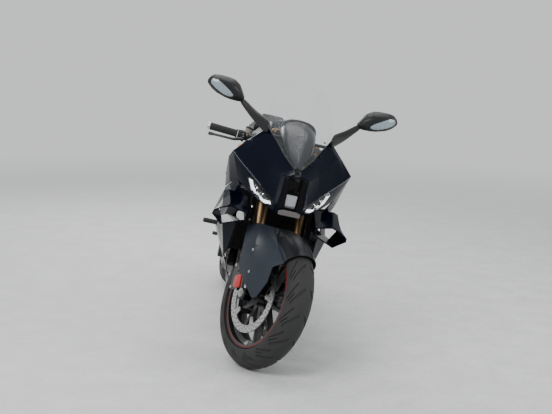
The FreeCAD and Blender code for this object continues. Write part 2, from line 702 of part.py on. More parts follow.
def bent_tube(corners, radius):
    """A round bar along straight runs joined by tangent arcs."""
    edges = []
    start = corners[0]
    for before, corner, after in zip(corners, corners[1:], corners[2:]):
        back, ahead = before - corner, after - corner
        half = back.getAngle(ahead) / 2
        reach = 0.45 * min(back.Length, ahead.Length)
        back.normalize()
        ahead.normalize()
        middle = (back + ahead).normalize() * (reach / math.cos(half) - reach * math.tan(half))
        edges.append(Part.makeLine(start, corner + back * reach))
        edges.append(Part.Arc(corner + back * reach, corner + middle, corner + ahead * reach).toShape())
        start = corner + ahead * reach
    edges.append(Part.makeLine(start, corners[-1]))
    path = Part.Wire(edges)
    circle = Part.Wire(Part.makeCircle(radius, corners[0], corners[1] - corners[0]))
    return path.makePipeShell([circle], True, False)


def silencer():
    """A short can under the swingarm, with a bored outlet past the tyre's right shoulder."""
    # columns: y, centre x, centre z, half width, half height
    stations = [(128, -56, 214, 24, 26), (176, -76, 236, 52, 44), (330, -84, 252, 56, 50), (388, -92, 258, 44, 40)]
    wires = []
    for y, x, z, w, h in stations:
        wires.append(rounded([vec(x - w, y, z - h * 0.5), vec(x - w * 0.5, y, z - h), vec(x + w, y, z - h),
                              vec(x + w, y, z + h * 0.7), vec(x, y, z + h), vec(x - w, y, z + h * 0.5)], 14.0))
    x, z = OUTLET[0], OUTLET[1]
    pipe = rod(vec(x, 360, z), vec(x, OUTLET_REAR, z), OUTLET_RADIUS + 3)
    bore = rod(vec(x, OUTLET_REAR - OUTLET_DEPTH, z), vec(x, OUTLET_REAR + 5, z), OUTLET_RADIUS)
    return loft(wires, True).fuse(pipe).cut(bore)


# Fork and steering
def fork_tubes():
    tube = rod(on_fork(FORK_TUBE_LOW, 0, FORK_HALF), on_fork(FORK_TUBE_TOP, 0, FORK_HALF), FORK_TUBE_RADIUS)
    top = on_fork(FORK_TUBE_TOP, 0, FORK_HALF)
    cap = rod(top, top + FORK_UP * 8, FORK_TUBE_RADIUS - 5)
    bore = rod(on_fork(FORK_TUBE_LOW, 0, FORK_HALF), on_fork(FORK_TUBE_LOW + 40, 0, FORK_HALF),
               FORK_SLIDER_RADIUS)
    return both(fused([tube, cap]).cut(bore))


def fork_legs():
    """The chromed inner tubes with their cast feet round the axle."""
    leg = rod(on_fork(FORK_FOOT_TOP - 30, 0, FORK_HALF), on_fork(FORK_TUBE_LOW + 39, 0, FORK_HALF),
              FORK_SLIDER_RADIUS - 0.02)
    foot = rod(on_fork(20, 0, FORK_HALF), on_fork(FORK_FOOT_TOP, 0, FORK_HALF), FORK_FOOT_RADIUS)
    lug = rod(AXLE_FRONT + X_AXIS * (FORK_HALF - 22), AXLE_FRONT + X_AXIS * (FORK_HALF + 20), 27.0)
    arm = [on_fork(t, b, FORK_HALF - 9) for t, b in ((28, 18), (100, 18), (128, 63.8), (62, 63.8))]
    caliper_arm = Part.Face(rounded(arm, 6.0)).extrude(X_AXIS * 18)
    body = fused([leg, foot, lug, caliper_arm])
    bore = rod(AXLE_FRONT, AXLE_FRONT + X_AXIS * 200, AXLE_FRONT_RADIUS)
    return both(body.cut(bore))


def clamp_plate(span, reach, ear):
    """One triple clamp: a plate round both fork tubes and the steering axis."""
    low, high = span
    outline = [(-reach, -ear), (reach, -ear), (reach, ear), (62, ear + 34), (-62, ear + 34), (-reach, ear)]
    corners = [on_fork(low, b, x) for x, b in outline]
    plate = Part.Face(rounded(corners, 20.0)).extrude(FORK_UP * (high - low))
    return plate


def triple_clamps():
    """Both clamps, with the stem between them through the head pipe."""
    lower = clamp_plate(LOWER_CLAMP, FORK_HALF + 40, 34)
    upper = clamp_plate(UPPER_CLAMP, FORK_HALF + 36, 32)
    stem = rod(steering_point(LOWER_CLAMP[0]), steering_point(UPPER_CLAMP[1] + 14), STEM_RADIUS)
    body = fused([lower, upper, stem])
    bores = [rod(on_fork(LOWER_CLAMP[0] - 5, 0, x), on_fork(UPPER_CLAMP[1] + 5, 0, x), FORK_TUBE_RADIUS + 0.02)
             for x in (-FORK_HALF, FORK_HALF)]
    low = LOWER_CLAMP[0]
    pin_bore = rod(steering_point(low), steering_point(low + STEM_BORE_DEPTH), STEM_BORE_RADIUS)
    return body.cut(bores + [pin_bore])


def bar_direction():
    sweep, droop = math.radians(BAR_SWEEP), math.radians(BAR_DROOP)
    return vec(math.cos(sweep) * math.cos(droop), math.sin(sweep) * math.cos(droop), -math.sin(droop))


def handlebar():
    """The left clip-on: ring clamp, bar, grip, switch block and lever."""
    middle = (BAR_CLAMP[0] + BAR_CLAMP[1]) / 2
    centre = on_fork(middle, 0, FORK_HALF)
    way = bar_direction()
    reach = (BAR_END_X - FORK_HALF) / way.x
    end = centre + way * reach
    ring = rod(on_fork(BAR_CLAMP[0], 0, FORK_HALF), on_fork(BAR_CLAMP[1], 0, FORK_HALF), FORK_TUBE_RADIUS + 9)
    start = centre + way * (FORK_TUBE_RADIUS + 2)
    bar = rod(start, end, BAR_RADIUS)
    hole = rod(on_fork(BAR_CLAMP[0] - 5, 0, FORK_HALF), on_fork(BAR_CLAMP[1] + 5, 0, FORK_HALF),
               FORK_TUBE_RADIUS + RUN_GAP)
    grip_in = end - way * GRIP_LENGTH
    grip = rod(grip_in, end, GRIP_RADIUS)
    weight = rod(end, end + way * 12, GRIP_RADIUS - 1)
    switch = rod(grip_in - way * 42, grip_in - way * 2, GRIP_RADIUS + 5)
    ahead = way.cross(vec(0, 0, 1)).normalize() * -1
    if ahead.y > 0:
        ahead = ahead * -1
    perch = grip_in - way * 30
    clamp = rod(perch - way * 12, perch + way * 12, GRIP_RADIUS + 3)
    pivot = perch + ahead * 44
    arm = rod(perch + ahead * 10, pivot, 9.0)
    knee = pivot + way * 40 + ahead * 22
    tip = pivot + way * 165 + ahead * 12
    lever = [rod(pivot, knee, 7.0), Part.makeSphere(7.0, knee), rod(knee, tip, 6.5), Part.makeSphere(8.5, tip)]
    return fused([ring, bar, grip, weight, switch, clamp, arm] + lever).cut(hole)


def front_calipers():
    """Radial calipers behind the fork feet, each with a slot round its disc."""
    outline = [(18, 64), (138, 64), (140, 112), (30, 126)]
    corners = [on_fork(t, b, 30) for t, b in outline]
    block = Part.Face(rounded(corners, 12.0)).extrude(X_AXIS * 84)
    slot_x = FRONT_DISC_X - DISC_THICK / 2 - 2.5
    slot = Part.makeCylinder(FRONT_DISC_RADIUS + 6, DISC_THICK + 5, AXLE_FRONT + X_AXIS * slot_x, X_AXIS)
    boss_room = Part.makeCylinder(DISC_LUG_RADIUS + DISC_LUG_HALF + 7, 45, AXLE_FRONT + X_AXIS * 20, X_AXIS)
    return both(block.cut([slot, boss_room]))


# Inside of a mudguard wing, square to the fork leg. columns: along the leg, then back and out of the
# front edge, and back of the corner ahead of the leg and of the rear edge
GUARD = [
    (-60, -205, 77, -50, 52),
    (132, -205, 77, -50, 52),
    (200, -140, 75, -50, 52),
    (262, -92, 66, -50, 52),
    (300, -72, 46, -50, 52),
]
GUARD_EDGE = [(298, 44), (120, 48), (66, 6), (8, -56), (-26, -80), (-24, -100), (44, -142), (110, -154),
              (134, -230), (330, -230), (330, -40)]


def front_mudguard():
    """A crowned band that hugs the tyre, with a wing each side that runs down outside the fork foot."""
    ring = FRONT_RADIUS - FRONT_CROWN
    inner = FRONT_CROWN + MUDGUARD_ROOM
    profile = []
    for r, angles in ((inner + PANEL, range(-90, 91, 15)), (inner, range(90, -91, -15))):
        profile += [AXLE_FRONT + vec(r * math.sin(math.radians(a)), 0, ring + r * math.cos(math.radians(a)))
                    for a in angles]
    start, end = MUDGUARD_SPAN
    band = Part.Face(polygon(profile)).revolve(AXLE_FRONT, X_AXIS, end - start)
    band.rotate(AXLE_FRONT, X_AXIS, 90 - end)
    side = FORK_HALF + FORK_FOOT_RADIUS + SIDE_GAP
    wires = []
    for t, b1, x1, b2, b3 in GUARD:
        inside = [(b1, x1), (b2, side), (b3, side)]
        outside = moved_in(inside, -PANEL)
        wires.append(polygon([on_fork(t, b, x) for b, x in inside + outside[::-1]]))
    edge = Part.Face(rounded([on_fork(t, b, 40) for t, b in GUARD_EDGE], 12.0)).extrude(X_AXIS * 140)
    wing = loft(wires, True).common(edge)
    room = Part.Face(polygon([AXLE_FRONT + vec(inner * math.sin(math.radians(a)), 0,
                                               ring + inner * math.cos(math.radians(a)))
                              for a in range(-90, 91, 15)])).revolve(AXLE_FRONT, X_AXIS, 360)
    wing = wing.cut(room)
    wing = max(wing.Solids, key=lambda s: s.Volume)
    return fused([band, wing, mirrored(wing)])


# Bodywork
# Left half of the nose. columns: y, then x z of the top edge, shoulder, crease and lower edge
NOSE_SECTIONS = [
    (-905, 10, 868, 44, 858, 52, 742, 46, 704),
    (-852, 14, 890, 62, 856, 66, 748, 58, 708),
    (-780, 64, 935, 102, 880, 124, 786, 102, 712),
    (-720, 94, 972, 148, 908, 178, 824, 150, 732),
    (-662, 128, 1006, 186, 950, 232, 862, 192, 758),
    (-629, 140, 1016, 205, 950, 262, 888, 213, 770),
    (-540, 150, 1000, 222, 925, 268, 850, 238, 735),
    (-400, 150, 920, 215, 850, 256, 770, 244, 690),
]
NOSE_SIDE = [(-880, 700), (-893, 790), (-885, 880), (-852, 905), (-780, 940), (-720, 977), (-662, 1011),
             (-622, 1020), (-590, 960), (-560, 900), (-430, 832), (-402, 700), (-629, 764), (-720, 726),
             (-777, 706)]
LAMP = [(68, 745), (168, 812), (182, 797), (163, 757), (128, 727), (98, 714), (70, 722)]


def moved_in(chain, wall):
    """An open outline of (a, b) pairs moved to its right by wall."""
    lines = []
    for p, q in zip(chain, chain[1:]):
        length = math.hypot(q[0] - p[0], q[1] - p[1])
        normal = ((q[1] - p[1]) / length, -(q[0] - p[0]) / length)
        lines.append((normal, normal[0] * p[0] + normal[1] * p[1] + wall))
    first, last = lines[0][0], lines[-1][0]
    moved = [(chain[0][0] + first[0] * wall, chain[0][1] + first[1] * wall)]
    for (n1, d1), (n2, d2) in zip(lines, lines[1:]):
        det = n1[0] * n2[1] - n1[1] * n2[0]
        moved.append(((d1 * n2[1] - d2 * n1[1]) / det, (n1[0] * d2 - n2[0] * d1) / det))
    moved.append((chain[-1][0] + last[0] * wall, chain[-1][1] + last[1] * wall))
    return moved


def skin(table, wall, ruled=True):
    """A panel of even wall, lofted along the bike; each row is y, then x z down its outside."""
    wires = []
    for y, *cols in table:
        outer = list(zip(cols[0::2], cols[1::2]))
        inner = moved_in(outer, wall)
        wires.append(polygon(across(outer + inner[::-1], y)))
    return loft(wires, ruled)


def section_at(table, y):
    """The outline of a table at y, between its rows."""
    y = min(max(y, table[0][0]), table[-1][0])
    for (y1, *a), (y2, *b) in zip(table, table[1:]):
        if y1 <= y <= y2:
            t = (y - y1) / (y2 - y1)
            cols = [p + (q - p) * t for p, q in zip(a, b)]
            return list(zip(cols[0::2], cols[1::2]))


def lamp_prism(gap):
    outline = inset(LAMP, gap) if gap else LAMP
    return front_prism(outline, -930, -640)


def upper_fairing():
    """The left half of the nose, open where the lamp sits."""
    shell = skin(NOSE_SECTIONS, PANEL).common(side_prism(NOSE_SIDE, 2, 300))
    return shell.cut(lamp_prism(0))


def headlamp():
    """A deep lens unit that fills the lamp opening."""
    return skin(NOSE_SECTIONS, LAMP_DEPTH).common(lamp_prism(SIDE_GAP))


def nose_room(low, high):
    """The space between the nose's two halves, as deep as the named y values."""
    return loft([polygon(across(symmetric(moved_in(section_at(NOSE_SECTIONS, y), PANEL + SIDE_GAP)), y))
                 for y in (low, high)], True)


def nose_cowl():
    """The centre of the nose: a frame round the air intake, the plate set under it and the lip."""
    front = NOSE_SECTIONS[0][0] + NOSE_FLANGE_IN
    outline = [(front, 706), (front - 12, 716), (front + 18, 724), (front + 30, 790), (front - 6, 872),
               (-780, 872), (-780, 706)]
    shoulder = NOSE_SECTIONS[1][0]
    room = fused([nose_room(front - 12, shoulder), nose_room(shoulder, -780)])
    block = side_prism(outline, -35, 35).common(room)
    flange = nose_room(front, front + 8).common(Part.makeBox(300, 60, 154, vec(-150, front - 20, 700)))
    window = front_prism([(-28, 794), (28, 794), (25, 728), (-25, 728)], front - 20, front + 9, 5.0)
    duct = front_prism([(-22, 861), (22, 861), (30, 852), (26, 796), (-26, 796), (-30, 852)], front - 20, -700)
    return block.fuse(flange.cut(window)).cut(duct).removeSplitter()


# Free rear end of the screen. columns: y, edge x, edge z, crown z
SCREEN_REAR = [(-600, 141, 1048, 1106), (-520, 141, 1110, 1164), (-440, 108, 1190, 1218)]
# Its front sits in the fairing's top edge. columns: y, crown z
SCREEN_FRONT = [(-846, 903), (-780, 962), (-720, 1014), (-662, 1062), (-629, 1086)]


def windscreen():
    """The clear double-bubble screen, a loft of thin arcs whose rim meets the fairing's."""
    wires = []
    for y, crown in SCREEN_FRONT:
        chain = section_at(NOSE_SECTIONS, y)
        (x, z), (x2, z2) = chain[:2]
        length = math.hypot(x2 - x, z2 - z)
        back = [(x - x2) / length * SIDE_GAP, (z - z2) / length * SIDE_GAP]
        inner = moved_in(chain, SCREEN)[0]
        wires.append(screen_arc(y, (x + back[0], z + back[1]), (inner[0] + back[0], inner[1] + back[1]), crown))
    for y, x, z, crown in SCREEN_REAR:
        wires.append(screen_arc(y, (x, z), (x - 0.7 * SCREEN, z - 0.7 * SCREEN), crown))
    return loft(wires, True)


def screen_arc(y, edge, inner, crown):
    """One station of the screen; edge and inner are the (x, z) corners of its left rim."""
    outside = Part.Arc(vec(-edge[0], y, edge[1]), vec(0, y, crown), vec(edge[0], y, edge[1])).toShape()
    inside = Part.Arc(vec(inner[0], y, inner[1]), vec(0, y, crown - SCREEN), vec(-inner[0], y, inner[1])).toShape()
    return Part.Wire([outside, Part.makeLine(vec(edge[0], y, edge[1]), vec(inner[0], y, inner[1])), inside,
                      Part.makeLine(vec(-inner[0], y, inner[1]), vec(-edge[0], y, edge[1]))])


# Left side panel. columns: y, then x z of four points from top to bottom edge
SIDE_SECTIONS = [
    (-629, 213, 770 - SEAM_GAP, 176, 704, 190, 620, 172, 520),
    (-540, 238, 735 - SEAM_GAP, 210, 672, 234, 570, 195, 418),
    (-400, 244, 690 - SEAM_GAP, 236, 628, 241, 518, 148, 313),
    (-300, 236, 680, 238, 610, 234, 490, 134, 280),
    (-150, 220, 650, 226, 580, 222, 450, 130, 262),
    (60, 200, 600, 208, 530, 204, 420, 128, 255),
]
SIDE_OUTLINE = [(-629, 800), (-629, 570), (-560, 432), (-452, 334), (-120, 266), (30, 300),
                (-20, 430), (-75, 560), (-130, 640), (-300, 676), (-400, 689), (-400, 800)]


def side_fairing():
    """The left flank with its vent, the closed-loop wing low on it and a lug to the engine."""
    vent = side_prism([(-420, 560), (-330, 600), (-250, 590), (-300, 520), (-390, 500)], 150, 300, 10.0)
    flank = skin(SIDE_SECTIONS, PANEL).common(side_prism(SIDE_OUTLINE, 100, 320, 5.0)).cut(vent)
    lug = rod(vec(CYLINDERS_HALF + SIDE_GAP, -180, 600), vec(224, -180, 600), 9.0)
    return fused([flank, winglet(), lug])


def belly_pan(block):
    """The pan under the engine, on two posts."""
    # columns: y, then x z of three points from the top edge to the keel
    stations = [(-400, 140, 298, 122, 216, 54, 172), (-100, 124, 258, 110, 176, 60, 138),
                (50, 120, 250, 106, 178, 58, 142)]
    wires = []
    for y, *cols in stations:
        outer = list(zip(cols[0::2], cols[1::2]))
        inner = [(x - PANEL, z + PANEL) for x, z in outer]
        closed = outer + [(-x, z) for x, z in outer[::-1]] + [(-x, z) for x, z in inner] + inner[::-1]
        wires.append(polygon(across(closed, y)))
    pan = loft(wires, True)
    outline = [(-404, 314), (-398, 250), (-340, 100), (44, 100), (44, 200), (24, 234), (-206, 234), (-262, 262)]
    post = rod(vec(100, -190, 186), vec(100, -190, 400), 6.0).cut(block.translated(vec(0, 0, -SIDE_GAP)))
    post = min(post.Solids, key=lambda s: s.CenterOfMass.z)
    return fused([pan.common(side_prism(outline, -300, 300, 6.0)), post, mirrored(post)])


# Outside of the left wing's loop at its leading and trailing edge, as (x, z)
WING_FRONT = [(150, 652), (222, 668), (260, 656), (292, 634), (298, 614), (250, 566), (150, 614)]
WING_REAR = [(150, 700), (236, 714), (256, 705), (271, 650), (272, 626), (246, 582), (150, 630)]
WING_SPAN = (-716.0, -560.0)
WING_WALL = 6.0


def winglet():
    """A closed-loop wing whose blades rise to the rear, swept back at its lower edge."""
    outside = [polygon(across(loop, y)) for loop, y in zip((WING_FRONT, WING_REAR), WING_SPAN)]
    inside = [polygon(across(inset(loop, WING_WALL), y)) for loop, y in
              zip((WING_FRONT, WING_REAR), (WING_SPAN[0] - 0.01, WING_SPAN[1] + 0.01))]
    trim = side_prism([(-716, 740), (-716, 630), (-656, 555), (-560, 555), (-560, 690), (-580, 740)], 100, 330, 8.0)
    return loft(outside, True).cut(loft(inside, True)).common(trim)


def mirror_pair(fairing, screen):
    """Swept arms with shell-shaped heads; each foot sits on the upper fairing."""
    # columns: the blade's middle, half its height as x and z, half its thickness along the bike
    sections = [((134, -662, 1016), (2, 30), 24), ((154, -638, 1026), (-8, 27), 21),
                ((206, -566, 1052), (-10, 17), 13), ((266, -503, 1098), (-7, 11), 9)]
    wires = []
    for middle, (x, z), thick in sections:
        up, back = vec(x, 0, z), vec(0, thick, 0)
        wires.append(rounded([vec(*middle) + v for v in (up, back, up * -1, back * -1)], 5.0))
    arm = loft(wires, True).cut([fairing, screen])
    arm = max(arm.Solids, key=lambda s: s.Volume)
    # columns: x, y of the front, z low, z high
    stations = [(262, -506, 1086, 1112), (285, -522, 1086, 1144), (320, -530, 1088, 1166), (372, -531, 1100, 1178),
                (408, -522, 1114, 1172), (424, -508, 1124, 1156)]
    wires = [rounded([vec(x, y, lo), vec(x, MIRROR_BACK, lo), vec(x, MIRROR_BACK, hi), vec(x, y, hi)], 9.0)
             for x, y, lo, hi in stations]
    head = loft(wires, True)
    return both(fused([arm, head]))


def mirror_glasses():
    outline = [(296, 1100), (300, 1144), (350, 1166), (396, 1165), (412, 1140), (398, 1120), (350, 1104)]
    glass = front_prism(outline, MIRROR_BACK, MIRROR_BACK + 2.5, 6.0)
    return both(glass)


# Hood under the screen, ahead of the dash. columns: y, then x z from the top down the left side
HOOD = [
    (-842, 4, 893, 8, 891),
    (-780, 18, 944, 42, 926),
    (-720, 28, 988, 60, 959),
    (-662, 36, 1028, 72, 988),
    (-600, 42, 1058, 80, 1006),
    (-556, 46, 1076, 86, 1016),
]


def dash_hood():
    """The dark cover that runs from the dash down to the screen's foot."""
    return arched_skin(HOOD)


def instrument_panel():
    """The dash on the fairing stay, which runs from the head pipe to the nose's two sides."""
    face = [vec(x, y, z) for x, y, z in ((-95, -560, 990), (95, -560, 990), (95, -522, 1078), (-95, -522, 1078))]
    body = Part.Face(rounded(face, 12.0)).extrude(vec(0, -22, 9))
    start = steering_point(620)
    ahead = FORK_BACK * -1
    foot = start + ahead * (HEAD_PIPE_RADIUS - 8)
    tip = start + ahead * 152
    beam = [foot + FORK_UP * -14, foot + FORK_UP * 14, tip + FORK_UP * 12, tip + FORK_UP * -12]
    stay = Part.Face(polygon([p + X_AXIS * -24 for p in beam])).extrude(X_AXIS * 48)
    pipe = rod(start - FORK_UP * 60, start + FORK_UP * 60, HEAD_PIPE_RADIUS + SIDE_GAP)
    riser = side_prism([(tip.y + 22, tip.z - 8), (tip.y - 4, tip.z - 8), (-606, 1000), (-576, 1040), (-556, 1000)],
                       -24, 24, 3.0)
    x, edge = section_at(NOSE_SECTIONS, STAY_Y)[0]
    bar = rod(vec(-x - 30, STAY_Y, edge - 26), vec(x + 30, STAY_Y, edge - 26), 7.0)
    inside = [polygon(across(symmetric(moved_in(section_at(NOSE_SECTIONS, y), PANEL + SIDE_GAP)), y))
              for y in (STAY_Y - 12, STAY_Y + 12)]
    bar = bar.common(loft(inside, True))
    return fused([body, stay.cut(pipe), riser, bar, dash_hood()])


# Fuel tank. columns: y, top x z, widest x z, lower edge x z
TANK_SECTIONS = [
    (-340, 46, 930, 80, 890, 78, 838),
    (-280, 66, 984, 108, 920, 100, 815),
    (-180, 86, 1010, 142, 938, 132, 800),
    (-60, 84, 1000, 170, 908, 150, 775),
    (50, 64, 948, 158, 862, 142, 765),
    (112, 40, 884, 118, 834, 112, 775),
]


def tank_like(table, radius, ruled=False):
    wires = []
    for y, *cols in table:
        half = list(zip(cols[0::2], cols[1::2]))
        wires.append(rounded(across(symmetric(half), y), radius))
    return loft(wires, ruled)


def fuel_tank():
    """The tank cover, open underneath, with a seat for the filler cap."""
    body = tank_like(TANK_SECTIONS, 26.0, True)
    hollow = []
    for y, *cols in TANK_SECTIONS:
        half = list(zip(cols[0::2], cols[1::2]))
        outline = inset(symmetric(half), PANEL)
        outline = [(x, z - 40 if z < min(p[1] for p in outline) + 1 else z) for x, z in outline]
        hollow.append(polygon(across(outline, y)))
    room = loft(hollow, True).common(Part.makeBox(600, 440, 400, vec(-300, -334, 700)))
    at, up, ahead = cap_place()
    neck = rod(at - up * 45, at, CAP_NECK_RADIUS + PANEL)
    ring = rod(at - up * 2, at + up * CAP_BASE, CAP_RADIUS + 3)
    hinge = at + ahead * CAP_HINGE + up * CAP_HINGE_UP
    ears = []
    for low, high in ((-11, -6), (6, 11)):
        ears.append(rod(hinge + X_AXIS * low, hinge + X_AXIS * high, 4.0))
        foot = [hinge + X_AXIS * low + ahead * a + up * u for a, u in ((-4, 0), (4, 0), (6, -12), (-8, -12))]
        ears.append(Part.Face(polygon(foot)).extrude(X_AXIS * (high - low)))
    pin = rod(hinge - X_AXIS * 11, hinge + X_AXIS * 11, CAP_PIN_RADIUS)
    bore = rod(at - up * 50, at + up * 20, CAP_NECK_RADIUS)
    foot = front_prism([(128, 848), (134.5, 848), (134.5, 815), (TANK_FOOT, 790), (TANK_FOOT, 750), (149, 750),
                        (149, 785), (130, 806)], -186, -174)
    feet = [foot.cut(room), mirrored(foot).cut(room)]
    return fused([body.cut(room), neck, ring, pin] + feet + ears).cut(bore)


def cap_place():
    """Where the filler cap sits: a point on the tank's crown, its normal and the way ahead."""
    (y1, _, z1), (y2, _, z2) = [row[:3] for row in TANK_SECTIONS[2:4]]
    slope = math.atan2(z1 - z2, y2 - y1)
    middle = vec(0, (y1 + y2) / 2, (z1 + z2) / 2)
    return middle, vec(0, math.sin(slope), math.cos(slope)), vec(0, -math.cos(slope), math.sin(slope))


def fuel_cap():
    at, up, ahead = cap_place()
    hinge = at + ahead * CAP_HINGE + up * CAP_HINGE_UP
    lid = rod(at + up * (CAP_BASE + SIDE_GAP), at + up * (CAP_BASE + 6), CAP_RADIUS)
    knuckle = rod(hinge - X_AXIS * 5.7, hinge + X_AXIS * 5.7, 4.0)
    tongue = [hinge - X_AXIS * 5.7 + ahead * a + up * u for a, u in ((0, 3.9), (-12, 2.9), (-12, -2.3), (0, -2.3))]
    bar = Part.Face(polygon(tongue)).extrude(X_AXIS * 11.4)
    pin = rod(hinge - X_AXIS * 11, hinge + X_AXIS * 11, CAP_PIN_RADIUS + RUN_GAP)
    return fused([lid, knuckle, bar]).cut(pin)


def rider_seat():
    # columns: y, top x z, widest x z, lower edge x
    table = [(118, 42, 866, 74, 850, 90), (180, 78, 850, 104, 836, 104), (240, 94, 843, 121, 830, 112),
             (360, 111, 848, 138, 835, 118), (410, 112, 866, 138, 850, 120), (440, 108, 902, 130, 886, 112)]
    return tank_like([fit_on(TRAY, row) for row in table], 14.0, True)


def pillion_seat():
    # columns: y, top x z, widest x z, lower edge x
    table = [(458, 84, 938, 112, 922, 104), (560, 82, 952, 108, 936, 98), (600, 73, 957, 99, 941, 90),
             (690, 52, 966, 78, 950, 68), (730, 36, 962, 60, 948, 54)]
    return tank_like([fit_on(HUMP, row) for row in table], 10.0, True)


def fit_on(table, row):
    """A cushion's row with its lower edge set down on the cover's flat top."""
    x, z = section_at(table, row[0])[0]
    return (*row[:5], min(row[5], x), z + SIDE_GAP)


def arched_skin(table):
    """A skin over the top of the bike; each row is y, then x z from the top down the left side."""
    wires = []
    for y, *cols in table:
        half = list(zip(cols[0::2], cols[1::2]))
        chain = [(-x, z) for x, z in half[::-1]] + half
        wires.append(polygon(across(chain + moved_in(chain, PANEL)[::-1], y)))
    return loft(wires, True)


# Seat unit. columns: y, then x z from the top down the left side
TRAY = [
    (112.3, 96, 774, 128, 766, 116, 742),
    (240, 118, 790, 146, 786, 122, 756),
    (360, 122, 792, 148, 800, 118, 774),
    (450, 122, 796, 148, 806, 118, 780),
]
HUMP = [
    (446, 116, 894, 144, 870, 124, 790),
    (600, 96, 906, 122, 896, 92, 850),
    (740, 58, 926, 84, 918, 70, 880),
    (880, 26, 950, 44, 940, 38, 908),
]


def tail_fairing():
    """The seat unit: a low tray under the rider and a hump that tapers to the lamp."""
    step = symmetric([(116, 894), (144, 870), (124, 790)])
    wall = front_prism(step, 446, 450)
    rail = RAIL_LOW + (RAIL_HIGH - RAIL_LOW) * ((300 - RAIL_LOW.y) / (RAIL_HIGH.y - RAIL_LOW.y))
    post = rod(vec(rail.x, 300, rail.z - 10), vec(rail.x, 300, 789), 8.0)
    post = post.cut(rod(RAIL_LOW, RAIL_HIGH, RAIL_RADIUS + SIDE_GAP))
    post = max(post.Solids, key=lambda s: s.CenterOfMass.z)
    return fused([arched_skin(TRAY), arched_skin(HUMP), wall, post, mirrored(post)])


def tail_lamp():
    back = HUMP[-1][0] + SIDE_GAP
    lens = side_prism([(back, 912), (900, 922), (896, 944), (back, 946)], -36, 36, 3.0)
    return lens


def plate_holder():
    """A blank number plate on its bracket behind the wheel, with the rear indicators."""
    roof = [(y, section_at(HUMP, y)[0][1] - PANEL - SIDE_GAP) for y in (790, 872)]
    arm = side_prism(roof + [(872, 902), (900, 892), (1002, 702), (1024, 612), (1006, 606), (966, 690), (860, 850),
                             (790, 900)], -16, 16, 4.0)
    plate = Part.makeBox(190, 3, 140, vec(-95, 1003, 590))
    plate.rotate(vec(0, 1003, 690), X_AXIS, 14)
    pod = rod(vec(0, 952, 742), vec(86, 958, 738), 6.0)
    lamp = rod(vec(78, 958, 738), vec(124, 962, 738), 13.0)
    left = fused([pod, lamp])
    return fused([arm, plate, left, mirrored(left)])


def footrests():
    """Rider's pegs on their hangers with the gear and brake pedals."""
    hanger = side_prism([(186, 474), (232, 476), (330, 416), (336, 388), (306, 380), (214, 420), (186, 440)],
                        PLATE_OUT + SIDE_GAP, 176, 8.0)
    peg = rod(vec(170, 315, 398), vec(262, 315, 398), 11.0)
    pedal = fused([rod(vec(181, 315, 398), vec(181, 150, 372), 6.0),
                   rod(vec(176, 150, 372), vec(212, 150, 372), 7.0)])
    return both(fused([hanger, peg, pedal]))


def subframe():
    """The left seat rail with its stay and the passenger's peg."""
    rail = rod(RAIL_LOW, RAIL_HIGH, RAIL_RADIUS)
    stay = rod(vec(140, 140, 560), vec(88, 330, 742), 9.0)
    hanger = side_prism([(372, 752), (412, 764), (520, 640), (500, 622), (470, 640)], 84, 92, 6.0)
    peg = rod(vec(86, 505, 634), vec(190, 505, 634), 9.0)
    return [rail, stay, hanger, peg]


# Side stand
def stand_pose(ground):
    """Pivot, foot centre and hinge axis, in the parked frame."""
    pivot = ground.multVec(vec(*STAND_PIVOT))
    foot = ground.multVec(vec(STAND_PIVOT[0] + STAND_REACH[0], STAND_PIVOT[1] + STAND_REACH[1], 0))
    foot.z = FOOT_THICK
    stowed = ground.Rotation.multVec(vec(*STAND_STOWED))
    axis = (foot - pivot).cross(stowed).normalize()
    return pivot, foot, axis


def side_stand(ground):
    pivot, foot, axis = stand_pose(ground)
    leg = rod(pivot, foot, STAND_LEG_RADIUS)
    eye = rod(pivot - axis * STAND_EYE_HALF, pivot + axis * STAND_EYE_HALF, STAND_EYE_RADIUS)
    half_l, half_w = FOOT_LENGTH / 2, FOOT_WIDTH / 2
    corners = [foot + vec(x, y, -FOOT_THICK) for x, y in
               ((-half_w, -half_l), (half_w, -half_l), (half_w, half_l), (-half_w, half_l))]
    pad = Part.Face(rounded(corners, 16.0)).extrude(vec(0, 0, FOOT_THICK))
    hole = rod(pivot - axis * 20, pivot + axis * 20, STAND_BOLT_RADIUS + RUN_GAP)
    return leg.fuse(eye).cut(hole).fuse(pad)


def stand_lug(ground):
    """The frame's lug with the stand's pivot bolt, in the upright frame."""
    pivot, foot, axis = stand_pose(ground)
    back = ground.inverse()
    pivot, axis = back.multVec(pivot), back.Rotation.multVec(axis)
    near = STAND_EYE_HALF + SIDE_GAP
    plate = rod(pivot + axis * near, pivot + axis * (near + 12), 18.0)
    bolt = rod(pivot - axis * near, pivot + axis * near, STAND_BOLT_RADIUS)
    head = rod(pivot - axis * (near + 6), pivot - axis * near, 13.0)
    arm = rod(pivot + axis * (near + 12), vec(150, 130, 292), 8.0)
    return fused([plate, bolt, head, arm])


# Parking the bike
def tyre_bottom(placement, centre, radius, crown, axle):
    """Height of the lowest point of a leaned tyre."""
    placed = placement.multVec(centre)
    tilt = placement.Rotation.multVec(axle).z
    return placed.z - (radius - crown) * math.sqrt(1 - tilt ** 2) - crown


def steer_placement():
    rotation = FreeCAD.Rotation(FORK_UP, STEER_REST)
    return FreeCAD.Placement(ORIGIN, rotation, steering_point(0))


